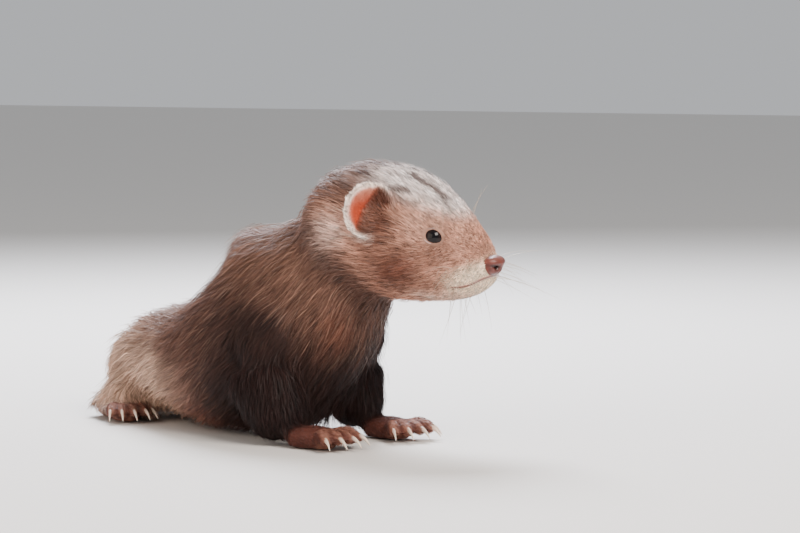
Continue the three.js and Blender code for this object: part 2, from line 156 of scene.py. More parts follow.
# Solids that only fill their hollows in the skin, under pieces of their own
FILLED = ("nose", "eye_left", "eye_right")


# Colours


def linear(text: str) -> np.ndarray:
    """Turns a colour into linear light.

    Args:
        text: an sRGB colour as six hexadecimal digits after a hash.
    Returns:
        Three linear values.
    """
    value = np.array([int(text[i:i + 2], 16) for i in (1, 3, 5)]) / 255
    return np.where(value <= 0.04045, value / 12.92, ((value + 0.055) / 1.055) ** 2.4)


@dataclass(frozen=True)
class Palette:
    """The colours of the coat, the bare skin, the eyes, the claws and the studio, and some painted light and
    shade, as sRGB hexadecimal.
    """

    cream: str = "#d8b8a6"
    muzzle: str = "#ffe9cd"
    tan: str = "#c38f78"
    brow: str = "#cfa28e"
    patch: str = "#6b4234"
    silver: str = "#efe7e4"
    streak: str = "#5e4843"
    hood: str = "#765548"
    pale: str = "#e0c2b4"
    neck: str = "#583c33"
    orange: str = "#733a24"
    back: str = "#6e4c3f"
    # Painted rim light along the top of the trunk
    painted_rim_light: str = "#956e5b"
    shoulder: str = "#36221d"
    # Nearly black coat, also used for painted shade under the chest and between the toes
    dark: str = "#210c09"
    flank: str = "#d3b39c"
    # Partly the belly's own colour, partly painted shade of the underside
    belly: str = "#83544a"
    paw: str = "#704238"
    # Partly the toes' own colour, partly a painted highlight on their tops
    toe: str = "#a87866"
    ear_rim: str = "#fff0e4"
    ear_inner: str = "#b54a2d"
    # Painted glow of light through the thin ear
    ear_painted_glow: str = "#e29c82"
    # Partly brown hair at the cup's front, partly painted shade of the ear's hollow
    ear_front: str = "#6b4334"
    ear_back: str = "#a88070"
    pupil: str = "#08060a"
    iris: str = "#1d0f0c"
    eye_edge: str = "#241718"
    lid_wet: str = "#1c1112"
    lid_edge: str = "#3c2727"
    lid: str = "#a98a84"
    lid_crease: str = "#6e4a40"
    lid_fold: str = "#6a463b"
    lid_skin: str = "#8a5f4e"
    lip_edge: str = "#cdb09c"
    lip: str = "#b98f7c"
    lip_wet: str = "#8a5f52"
    mouth: str = "#432722"
    nose: str = "#5e261c"
    nose_top: str = "#6e3d33"
    # Painted shade deep in the nostrils
    nostril: str = "#200a08"
    # Painted shade in the nose's hollow, under the leather
    nose_hollow_shade: str = "#1c0d0c"
    claw_root: str = "#9a6f5f"
    claw_tip: str = "#e6d8c8"
    whisker: str = "#cdbca8"
    floor: str = "#d9d6d2"
    sky: str = "#e4e6ea"


PAINT = Palette()


# Placing


def curve_points(points: tuple, count: int = 160) -> np.ndarray:
    """Points along a smooth centripetal curve through the given ones.

    Args:
        points: the points that it passes through.
        count: how many points come back.
    Returns:
        An array of count rows, spread evenly over the curve's own parameter.
    """
    p = np.array(points, float)
    p = np.vstack([2 * p[0] - p[1], p, 2 * p[-1] - p[-2]])
    out = []
    spans = len(p) - 3
    for t in np.linspace(0, spans - 1e-6, count):
        i = int(t)
        a, b, c, d = p[i:i + 4]
        f = t - i
        out.append(0.5 * (2 * b + (c - a) * f + (2 * a - 5 * b + 4 * c - d) * f**2
                          + (3 * b - a - 3 * c + d) * f**3))
    return np.array(out)


def head_matrix() -> np.ndarray:
    """Rotation of the head's own frame in the working frame."""
    roll = math.radians(HEAD.roll)
    return np.array([[1, 0, 0], [0, math.cos(roll), -math.sin(roll)], [0, math.sin(roll), math.cos(roll)]])


def find_shift() -> np.ndarray:
    """Finds the working frame from the eyes' solids.

    Returns:
        Where its origin is in the row frame, in millimetres.
    """
    centres = [np.array(sum(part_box(f"eye_{SIDES[side]}"), Vector())) / 2 for side in Side]
    between = head_matrix() @ np.array([HEAD.eye[0], 0, HEAD.eye[2]]) + np.array(HEAD.at)
    return np.mean(centres, axis=0) / MM - between


SHIFT = find_shift()
HEAD_TURN = head_matrix()


def to_row(points: np.ndarray) -> np.ndarray:
    """Working millimetres to the row frame's metres."""
    return (np.asarray(points, float) + SHIFT) * MM


def to_work(points: np.ndarray) -> np.ndarray:
    """The row frame's metres to working millimetres."""
    return np.asarray(points, float) / MM - SHIFT


def head_to_row(points: np.ndarray) -> np.ndarray:
    """The head's own millimetres to the row frame's metres."""
    return to_row(np.asarray(points, float) @ HEAD_TURN.T + np.array(HEAD.at))


def row_to_head(points: np.ndarray) -> np.ndarray:
    """The row frame's metres to the head's own millimetres."""
    return (to_work(points) - np.array(HEAD.at)) @ HEAD_TURN


def unit(v: np.ndarray) -> np.ndarray:
    """Rows scaled to length one."""
    return v / np.maximum(np.linalg.norm(v, axis=-1, keepdims=True), 1e-12)


def step(x: np.ndarray, low: float, high: float) -> np.ndarray:
    """Smooth step from 0 at low to 1 at high."""
    t = np.clip((x - low) / (high - low), 0, 1)
    return t * t * (3 - 2 * t)


def blob(p: np.ndarray, at: tuple, radius: float) -> np.ndarray:
    """A soft ball: 1 at its centre and falling with distance."""
    return np.exp(-np.sum((p - np.array(at)) ** 2, axis=1) / radius**2)


def both(p: np.ndarray, at: tuple, radius: float) -> np.ndarray:
    """A soft ball on each side of the head."""
    return blob(p, at, radius) + blob(p, (at[0], -at[1], at[2]), radius)


def nose_distance(h: np.ndarray, grow: float = 0.0) -> np.ndarray:
    """How far places are from the middle of the nose.

    Args:
        h: places in the head's millimetres.
        grow: how many millimetres larger the nose is taken.
    Returns:
        Distances, with 1 on its surface.
    """
    return np.linalg.norm((h - np.array(HEAD.nose)) / (np.array(HEAD.nose_half) + grow), axis=1)


def tree_of(points: list) -> kdtree.KDTree:
    """A search tree of places, numbered in their order."""
    tree = kdtree.KDTree(len(points))
    for i, point in enumerate(points):
        tree.insert(point, i)
    tree.balance()
    return tree


def hashed(cell: np.ndarray, seed: int) -> np.ndarray:
    """A repeatable value from 0 to 1 for each whole-number cell."""
    value = np.sin(cell @ np.array([12.9898, 78.233, 37.719]) + seed * 4.137) * 43758.5453
    return value - np.floor(value)


def noise(p: np.ndarray, size: float, seed: int) -> np.ndarray:
    """Smooth value noise from 0 to 1.

    Args:
        p: places in millimetres.
        size: the width of a spot in millimetres.
        seed: which noise it is.
    Returns:
        One value a place.
    """
    q = p / size
    base = np.floor(q)
    f = q - base
    f = f * f * (3 - 2 * f)
    total = np.zeros(len(p))
    for corner in np.ndindex(2, 2, 2):
        c = np.array(corner)
        weight = np.prod(np.where(c == 1, f, 1 - f), axis=1)
        total += weight * hashed(base + c, seed)
    return total


# Mesh helpers


def put_in_scene(name: str, mesh: bpy.types.Mesh) -> bpy.types.Object:
    """Makes a smooth-shaded piece of a mesh whose places are those of the row frame.

    Args:
        name: the piece's name.
        mesh: its mesh.
    Returns:
        The piece, at the origin.
    """
    mesh.polygons.foreach_set("use_smooth", np.ones(len(mesh.polygons), bool))
    piece = bpy.data.objects.new(name, mesh)
    bpy.context.scene.collection.objects.link(piece)
    return piece


def bend_grids(name: str, grids: list[np.ndarray], inside: np.ndarray, closed: bool = True,
               capped: bool = True) -> bpy.types.Object:
    """Bends flat grids to their shapes and joins them in one piece.

    Args:
        name: the piece's name.
        grids: for each shape, rows by columns of places in the row frame, in metres.
        inside: a place that open shapes turn away from.
        closed: whether each row runs round and meets its own start.
        capped: whether the first and the last row are filled.
    Returns:
        The piece. Its vertices keep the order of the places.
    """
    shape = bmesh.new()
    seams = {}
    for places in grids:
        rows, columns = places.shape[:2]
        steps = columns if closed else columns - 1
        verts = bmesh.ops.create_grid(shape, x_segments=steps, y_segments=rows - 1, size=1)["verts"]
        lines = [verts[i:i + steps + 1] for i in range(0, len(verts), steps + 1)]
        for line, row in zip(lines, places):
            for i, vertex in enumerate(line):
                vertex.co = row[i % columns]
        if closed:
            seams.update({line[-1]: line[0] for line in lines})
    bmesh.ops.weld_verts(shape, targetmap=seams)
    if capped:
        bmesh.ops.holes_fill(shape, edges=[edge for edge in shape.edges if edge.is_boundary], sides=0)
    bmesh.ops.recalc_face_normals(shape, faces=shape.faces)
    middle = Vector(inside)
    outward = [face.calc_area() * face.normal.dot(face.calc_center_median() - middle) for face in shape.faces]
    if sum(outward) < 0:
        bmesh.ops.reverse_faces(shape, faces=shape.faces)
    mesh = bpy.data.meshes.new(name)
    shape.to_mesh(mesh)
    shape.free()
    return put_in_scene(name, mesh)


def paint(piece: bpy.types.Object, colours: np.ndarray) -> None:
    """Gives each vertex its colour, in the attribute that every finish reads.

    Args:
        piece: the piece.
        colours: one linear colour a vertex.
    """
    layer = piece.data.color_attributes.new(TINT, "FLOAT_COLOR", "POINT")
    rgba = np.ones((len(colours), 4), np.float32)
    rgba[:, :3] = colours
    layer.data.foreach_set("color", rgba.ravel())


def dress(piece: bpy.types.Object, material: bpy.types.Material,
          replaces: tuple[str, ...] = ()) -> None:
    """Puts the finish on a piece, lets it ride on the body and hides the CAD nodes that it takes the place
    of.

    Args:
        piece: the piece.
        material: its finish.
        replaces: the CAD nodes that it takes the place of.
    """
    piece.data.materials.clear()
    piece.data.materials.append(material)
    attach(piece, ROOT)
    if replaces:
        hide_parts(*replaces)
    LOG.info("%s: %d vertices, %d faces", piece.name, len(piece.data.vertices), len(piece.data.polygons))


# Finishes


def add(tree: bpy.types.NodeTree, kind: str, links: dict | None = None, **settings) -> bpy.types.Node:
    """Adds a node.

    Args:
        tree: the node tree.
        kind: the node's type.
        links: input names or numbers and the sockets that feed them.
        settings: input values by name with spaces as underscores, or properties of the node.
    Returns:
        The node.
    """
    node = tree.nodes.new(kind)
    for name, value in settings.items():
        if hasattr(node, name):
            setattr(node, name, value)
        else:
            node.inputs[name.replace("_", " ")].default_value = value
    for name, socket in (links or {}).items():
        tree.links.new(socket, node.inputs[name])
    return node


@dataclass(frozen=True)
class Finish:
    """A surface whose colour is painted on its vertices.

    Args:
        name: what it is in life.
        roughness: 0 for a mirror, 1 for chalk.
        specular: the shader's specular level.
        sheen: the glow of fine hair at grazing angles.
        subsurface: how much light passes under the surface.
        bump: how strong its pebbles are.
        bump_size_mm: the width of a pebble.
        glow_through: how much light passes right through.
        subsurface_mm: how far light travels under the surface.
    """

    name: str
    roughness: float
    specular: float = 0.5
    sheen: float = 0.0
    subsurface: float = 0.0
    bump: float = 0.0
    bump_size_mm: float = 0.5
    glow_through: float = 0.0
    subsurface_mm: float = 1.2

    def make(self) -> bpy.types.Material:
        """Builds the material's nodes.

        Returns:
            The material.
        """
        material = bpy.data.materials.new(self.name)
        material.use_nodes = True
        tree = material.node_tree
        tree.nodes.clear()
        out = tree.nodes.new("ShaderNodeOutputMaterial")
        tint = add(tree, "ShaderNodeAttribute", attribute_name=TINT)
        shader = add(tree, "ShaderNodeBsdfPrincipled", {"Base Color": tint.outputs["Color"]},
                     Roughness=self.roughness)
        shader.inputs["Specular IOR Level"].default_value = self.specular
        shader.inputs["Sheen Weight"].default_value = self.sheen
        shader.inputs["Subsurface Weight"].default_value = self.subsurface
        shader.inputs["Subsurface Radius"].default_value = (1.0, 0.4, 0.25)
        shader.inputs["Subsurface Scale"].default_value = self.subsurface_mm * MM
        if self.bump:
            place = add(tree, "ShaderNodeTexCoord")
            cells = add(tree, "ShaderNodeTexVoronoi", {"Vector": place.outputs["Object"]},
                        Scale=1 / (self.bump_size_mm * MM))
            rise = add(tree, "ShaderNodeBump", {"Height": cells.outputs["Distance"]},
                       Strength=self.bump, Distance=self.bump_size_mm * MM * 0.5)
            tree.links.new(rise.outputs["Normal"], shader.inputs["Normal"])
        last = shader.outputs["BSDF"]
        if self.glow_through:
            through = add(tree, "ShaderNodeBsdfTranslucent", {"Color": tint.outputs["Color"]})
            mix = add(tree, "ShaderNodeMixShader", {1: last, 2: through.outputs["BSDF"]},
                      Fac=self.glow_through)
            last = mix.outputs["Shader"]
        tree.links.new(last, out.inputs["Surface"])
        return material


# Thin fur: half-matte, with light passing through its tips
FUR = Finish("fur", roughness=0.5, specular=0.26, sheen=0.04, glow_through=0.22)
# Skin under the coat: dull and slightly soft to light
SKIN = Finish("skin_under_fur", roughness=0.75, specular=0.25, subsurface=0.1, bump=0.3, bump_size_mm=0.4)
# Bare skin of lids and lips: moist
MOIST = Finish("moist_skin", roughness=0.32, specular=0.5, subsurface=0.15, bump=0.12, bump_size_mm=0.25)
# Nose leather: fine pebbles, damp
LEATHER = Finish("nose_leather", roughness=0.33, specular=0.45, subsurface=0.04, bump=0.35, bump_size_mm=0.3)
# Eye: dark iris under a wet cornea
EYE = Finish("wet_eye", roughness=0.04, specular=0.24)
# Claw: ivory horn, smooth
HORN = Finish("claw_horn", roughness=0.3, specular=0.5, subsurface=0.2)
# Whisker: stiff pale hair
BRISTLE = Finish("whisker", roughness=0.35, specular=0.5, glow_through=0.3)


@dataclass(frozen=True)
class EarFrame:
    """The frame of one ear: towards its front edge, up it and out of its cup."""

    side: Side

    def local(self, points: np.ndarray) -> np.ndarray:
        """Row-frame metres to millimetres in this frame."""
        s = self.side.value
        out = unit(np.array(HEAD.ear_faces) * (1, s, 1))
        ahead = unit(np.cross(np.array([0, 0, 1.0]), out)) * -s
        up = np.cross(out, ahead) * -s
        away = row_to_head(points) - np.array(HEAD.ear) * (1, s, 1)
        return away @ np.array([ahead, up, out]).T

    def masks(self, points: np.ndarray) -> tuple[np.ndarray, np.ndarray, np.ndarray]:
        """Tells the parts of the ear apart.

        Args:
            points: places in the row frame, in metres.
        Returns:
            For each place, its share in the cup, on the rim and in the hairy front of the cup.
        """
        local = self.local(points)
        near = (np.abs(local[:, 0]) < 11) & (np.abs(local[:, 1]) < 12) & (np.abs(local[:, 2]) < 9)
        rim = np.hypot(local[:, 0] / HEAD.ear_half[0], local[:, 1] / HEAD.ear_half[1])
        open_side = step(local[:, 2] - HEAD.ear_cup * (rim**2 - 1), -0.4, 0.5)
        inside = open_side * (1 - step(rim, 0.8, 0.95)) * near
        fringe = near * step(rim, 0.76, 0.9) * (1 - 0.75 * step(local[:, 0] - 0.45 * local[:, 1], 1.5, 6))
        return inside, fringe, step(local[:, 0] - 0.55 * local[:, 1], -3.0, 1.8)


@dataclass(frozen=True)
class FootFrame:
    """One foot's own frame on the floor and the lines of its toes."""

    plan: FootPlan
    at: tuple[float, float]
    heading: float

    def toe(self, number: int) -> tuple[np.ndarray, np.ndarray, np.ndarray]:
        """Finds one toe in the foot's own frame.

        Args:
            number: which toe, from 0 on the foot's left.
        Returns:
            Its root, its tip and the direction in which it points.
        """
        spread = math.radians(self.plan.fan * (0.5 - number / (TOES - 1)))
        ahead = np.array([math.cos(spread), math.sin(spread), 0])
        across = (0.5 - number / (TOES - 1)) * 1.5 * self.plan.sole_half
        root = np.array([self.plan.sole * 0.68, across * 0.7, 3.4])
        tip = root + ahead * self.plan.toe * self.plan.reach[number] + np.array([0, across * 0.3, -0.9])
        return root, tip, ahead

    def to_work(self, points: np.ndarray) -> np.ndarray:
        """The foot's own millimetres to working ones."""
        turn = math.radians(self.heading)
        cosine, sine = math.cos(turn), math.sin(turn)
        rotate = np.array([[cosine, -sine, 0], [sine, cosine, 0], [0, 0, 1]])
        return np.asarray(points) @ rotate.T + np.array([*self.at, 0])

    def crease(self, w: np.ndarray) -> np.ndarray:
        """Measures how far places lie sideways of the nearest toe.

        Args:
            w: places in working millimetres.
        Returns:
            Distances from the toe's line, in millimetres.
        """
        best = np.full(len(w), 99.0)
        for number in range(TOES):
            root, tip, _ = self.toe(number)
            a, b = self.to_work(np.array([root, tip]))[:, :2]
            share = np.clip((w[:, :2] - a) @ (b - a) / ((b - a) @ (b - a)), 0, 1.3)
            away = np.linalg.norm(w[:, :2] - a - share[:, None] * (b - a), axis=1)
            best = np.minimum(best, np.where(share > 0.02, away, 1.8))
        return best


def hind_foot_at(side: Side) -> tuple[float, float]:
    """Where a hind foot's heel is in the working frame."""
    turn = math.radians(BODY.pelvis_heading)
    x, y = BODY.hind_foot[0], side.value * BODY.hind_foot[1]
    return (BODY.pelvis[0] + x * math.cos(turn) - y * math.sin(turn),
            BODY.pelvis[1] + x * math.sin(turn) + y * math.cos(turn))


FEET = {
    "forepaw_right": FootFrame(FOREFOOT, BODY.paw_right[:2], BODY.paw_right[2]),
    "forepaw_left": FootFrame(FOREFOOT, BODY.paw_left[:2], BODY.paw_left[2]),
    "hindfoot_right": FootFrame(HINDFOOT, hind_foot_at(Side.RIGHT), BODY.pelvis_heading),
    "hindfoot_left": FootFrame(HINDFOOT, hind_foot_at(Side.LEFT), BODY.pelvis_heading),
}


# Markings, with painted light and shade


@dataclass(frozen=True)
class Spots:
    """Soft round spots of one colour.

    Args:
        colour: their colour.
        spots: the share, the middle and the radius in millimetres of each.
        paired: whether each stands on both sides of the head.
    """

    colour: str
    spots: tuple[tuple[float, tuple[float, float, float], float], ...]
    paired: bool = False

    def cover(self, places: np.ndarray) -> np.ndarray:
        """How strongly they cover each place."""
        reach = both if self.paired else blob
        return sum(share * reach(places, at, radius) for share, at, radius in self.spots)


# On the trunk, in working millimetres
SHOULDERS = Spots(PAINT.shoulder, ((0.95, (-22, -22, 38), 23), (0.9, (-12, 22, 36), 23)))
NECK_SIDES = Spots(PAINT.orange, ((0.75, (9, -15, 40), 6.5), (0.5, (9, 15, 40), 6)))
BREAST = Spots(PAINT.pale, ((0.5, (23, 4, 38), 7),))
# On the head, in its own millimetres
BROWS = Spots(PAINT.brow, ((0.8, (27, 11, 10), 8),), True)
CHEEKS = Spots(PAINT.patch, (
    (0.95, (22, 17, -7), 8), (0.5, (31, 11, -2.5), 4.5), (0.4, (13, 19, -8), 8),
), True)
LIP_CORNERS = Spots(PAINT.orange, ((0.25, (40, 4.5, -11), 3.2),), True)
BEHIND_EARS = Spots(PAINT.pale, ((0.95, (0, 20.5, 4.5), 5.2),), True)
# Darker before each ear: partly brown hair, partly painted shade of the ear's hollow
BEFORE_EARS = Spots(PAINT.ear_front, ((1.3, (15.5, 17.5, 7.5), 4.6), (0.9, (13.5, 18.5, 2), 4.3)), True)


def mixed(colour: np.ndarray, text: str, share: np.ndarray) -> np.ndarray:
    """Lays one colour over others.

    Args:
        colour: the linear colours below.
        text: the colour above, as sRGB hexadecimal.
        share: how strongly it covers each.
    Returns:
        The mixed linear colours.
    """
    share = np.clip(share, 0, 1)[:, None]
    return colour * (1 - share) + linear(text) * share


def spotted(colour: np.ndarray, spots: Spots, places: np.ndarray) -> np.ndarray:
    """Lays soft spots over colours at the given places."""
    return mixed(colour, spots.colour, spots.cover(places))


@dataclass
class MarkingsAndPaintedLight:
    """The coat's colour at some places, for skin and fur alike, with its markings and some painted light and
    shade.

    Args:
        places: places in the row frame, in metres.
        weights: how much each place belongs to each part of the body, by the part's name.
    """

    places: np.ndarray
    weights: dict[str, np.ndarray]

    def __post_init__(self) -> None:
        """Works out the places in both millimetre frames and two sizes of mottling."""
        self.w = to_work(self.places)
        self.h = row_to_head(self.places)
        self.fine, self.coarse = noise(self.w, 3.0, 1), noise(self.w, 11.0, 2)

    def plain(self, text: str) -> np.ndarray:
        """One colour everywhere."""
        return np.tile(linear(text), (len(self.w), 1))

    def trunk(self) -> np.ndarray:
        """Brown back with painted rim light along its top, darker shoulders, an underside darker partly by
        its own coat and partly by painted shade, pale flank and hip.

        Returns:
            The trunk's colours.
        """
        x, z = self.w[:, 0], self.w[:, 2]
        colour = mixed(self.plain(PAINT.back), PAINT.neck, step(x, -28, -8))
        # Painted rim light: the upper line of the trunk is lighter, as if lit from behind
        colour = mixed(colour, PAINT.painted_rim_light, 0.6 * step(z + 0.8 * x, 24, 40))
        colour = spotted(colour, SHOULDERS, self.w)
        pale = step(-x + 16 * (self.coarse - 0.5), 44, 72) * (1 - 0.85 * step(z, 24, 35))
        colour = mixed(colour, PAINT.flank, pale * (0.5 + 0.5 * self.fine))
        # Darker underside: partly the coat's own colour, partly painted shade towards the floor, brown on the
        # belly behind and nearly black on the chest between the forelegs
        colour = mixed(colour, PAINT.belly, 0.8 * (1 - step(z, 6, 20)) * step(x, -78, -52))
        low = 1 - step(z - 0.25 * (x + 40), 15, 44)
        colour = mixed(colour, PAINT.dark, 0.95 * low * step(x, -52, -32) * (0.8 + 0.3 * self.fine))
        return spotted(spotted(colour, NECK_SIDES, self.w), BREAST, self.w)

    def face(self) -> np.ndarray:
        """Tan face, brown patch below the eye, silver forehead with dark streaks, brown hood.

        Returns:
            The head's colours.
        """
        h = self.h
        away = h - np.array(HEAD.lie_from)
        reach = np.linalg.norm(away, axis=1, keepdims=True)
        aim = (away / reach)[:, 1:]
        # Streaks run out from the nose: long along their way and narrow across it
        streaks = noise(np.hstack([reach * 0.10, aim * 21]), 1.0, 5)
        hairs = noise(np.hstack([reach * 0.22, aim * 30]), 1.0, 6)
        colour = mixed(self.plain(PAINT.tan), BROWS.colour, BROWS.cover(h) + 0.3 * hairs)
        colour = spotted(colour, CHEEKS, h)
        muzzle = 0.95 * step(h[:, 0], 30, 39) * step(-h[:, 2] - 0.4 * (40 - h[:, 0]), 4, 8.5)
        colour = mixed(colour, PAINT.muzzle, muzzle)
        chin = 0.85 * step(-h[:, 2] - 0.12 * h[:, 0], 8.5, 13) * step(h[:, 0], 19, 29)
        colour = mixed(colour, PAINT.cream, chin)
        colour = spotted(colour, LIP_CORNERS, h)
        colour = mixed(colour, PAINT.hood, step(h[:, 2], 6, 16) * step(-h[:, 0], -22, -8))
        # The silver starts above a border that falls towards the nose
        middle = 1.8 * np.exp(-((h[:, 1] / 7) ** 2))
        above = h[:, 2] - (18.5 - 0.26 * np.maximum(h[:, 0], 0) - middle + 1.5 * (hairs - 0.5))
        top = step(above, -3.5, 3) * (1 - 0.88 * step(-h[:, 0], -17, -3)) * (1 - step(h[:, 0], 32, 40))
        colour = mixed(colour, PAINT.silver, top * (0.75 + 0.3 * hairs))
        streaked = 0.85 * step(streaks, 0.56, 0.72) * step(above, -4, 3) * (1 - step(h[:, 0], 28, 36))
        colour = mixed(colour, PAINT.streak, streaked)
        behind = step(-h[:, 0] - 0.69 * h[:, 2], -7, 4)
        colour = mixed(colour, PAINT.neck, behind * (1 - 0.55 * step(h[:, 2], 4, 14)))
        colour = spotted(spotted(colour, BEHIND_EARS, h), BEFORE_EARS, h)
        colour = mixed(colour, PAINT.neck, step(-h[:, 0] - 0.3 * h[:, 2], 10, 20))
        return colour * (0.72 + 0.5 * hairs)[:, None]

    def foreleg(self) -> np.ndarray:
        """Nearly black, browner towards the shoulder."""
        return mixed(self.plain(PAINT.dark), PAINT.shoulder, 0.9 * step(self.w[:, 2] + 6 * self.fine, 26, 46))

    def hindleg(self) -> np.ndarray:
        """Pale like the hip, a little darker near the floor."""
        colour = mixed(self.plain(PAINT.flank), PAINT.back, 0.22 * self.coarse)
        return mixed(colour, PAINT.dark, 0.2 * step(-self.w[:, 2], -12, -4))

    def foot(self) -> np.ndarray:
        """Reddish brown, paler along each toe partly by the toe's own colour and partly by a painted
        highlight on its top, with painted shade between the toes near the floor.
        """
        colour = mixed(self.plain(PAINT.paw), PAINT.dark, 0.45 * self.fine)
        crease = np.min([foot.crease(self.w) for foot in FEET.values()], axis=0)
        # Paler along each toe: partly its own colour, partly a painted highlight on its top
        colour = mixed(colour, PAINT.toe, 0.75 * (1 - step(crease, 0.6, 1.7)))
        # Painted shade between the toes near the floor
        return mixed(colour, PAINT.dark, 0.8 * step(crease, 1.9, 2.6) * (1 - step(self.w[:, 2], 4.5, 6.5)))

    def tail(self) -> np.ndarray:
        """Brown, nearly black at the tip."""
        return mixed(self.plain(PAINT.back), PAINT.dark, step(self.w[:, 1], 66, 118))

    def ears(self, face: np.ndarray) -> tuple[np.ndarray, np.ndarray]:
        """White rim, flame-pink cup with a painted glow towards its rim and top, darker at its front partly
        by brown hair and partly by painted shade of the ear's hollow, pale brown back.

        Args:
            face: the colours of the face so far.
        Returns:
            The colours of the ears, and those of the face with the foot of each cup in it.
        """
        ears = self.plain(PAINT.ear_back)
        for side in Side:
            inside, fringe, front = EarFrame(side).masks(self.places)
            local = EarFrame(side).local(self.places)
            # Painted glow: the cup is lighter towards its rim and its top, as if light shone through the thin
            # ear
            glow = step(np.hypot(*(local[:, :2] / np.array(HEAD.ear_half)).T), 0.62, 0.95)
            glow = np.maximum(glow, step(local[:, 1] + 4 * (self.fine - 0.5), 1.5, 8))
            ears = mixed(ears, PAINT.ear_inner, inside)
            ears = mixed(ears, PAINT.ear_painted_glow, inside * glow)
            # Darker at the cup's front: partly brown hair, partly painted shade of the ear's hollow
            ears = mixed(ears, PAINT.ear_front, inside * front)
            ears = mixed(ears, PAINT.ear_rim, fringe)
            # On the face's share of each cup: its colour, the painted glow and, at its front, brown hair with
            # painted shade
            face = mixed(face, PAINT.ear_inner, inside * (1 - front))
            face = mixed(face, PAINT.ear_painted_glow, inside * (1 - front) * glow)
            face = mixed(face, PAINT.ear_front, 0.9 * inside * front)
        return ears, face

    def colour(self) -> np.ndarray:
        """Every part's colours joined by their weights, one linear colour a place."""
        ears, face = self.ears(self.face())
        parts = {"head": face, "trunk": self.trunk(), "foreleg": self.foreleg(), "hindleg": self.hindleg(),
                 "foot": self.foot(), "tail": self.tail(), "ear": ears}
        total = sum(self.weights[name][:, None] * parts[name] for name in parts)
        return total * (0.86 + 0.28 * self.fine)[:, None]


# Skin


PART_OF = {
    "head": "head", "neck": "trunk", "chest": "trunk", "belly": "trunk", "rump": "trunk",
    "tail_base": "tail", "tail_middle": "tail", "tail_tip": "tail", "ear": "ear",
    "upper_arm": "foreleg", "forearm": "foreleg", "forepaw": "foot",
    "thigh": "hindleg", "shank": "hindleg", "hindfoot": "foot",
}
PARTS = ("head", "trunk", "foreleg", "hindleg", "foot", "tail", "ear")


def part_of(node: str) -> str:
    """The part of the body that a CAD node belongs to."""
    return PART_OF.get(node) or PART_OF[node.rsplit("_", 1)[0]]


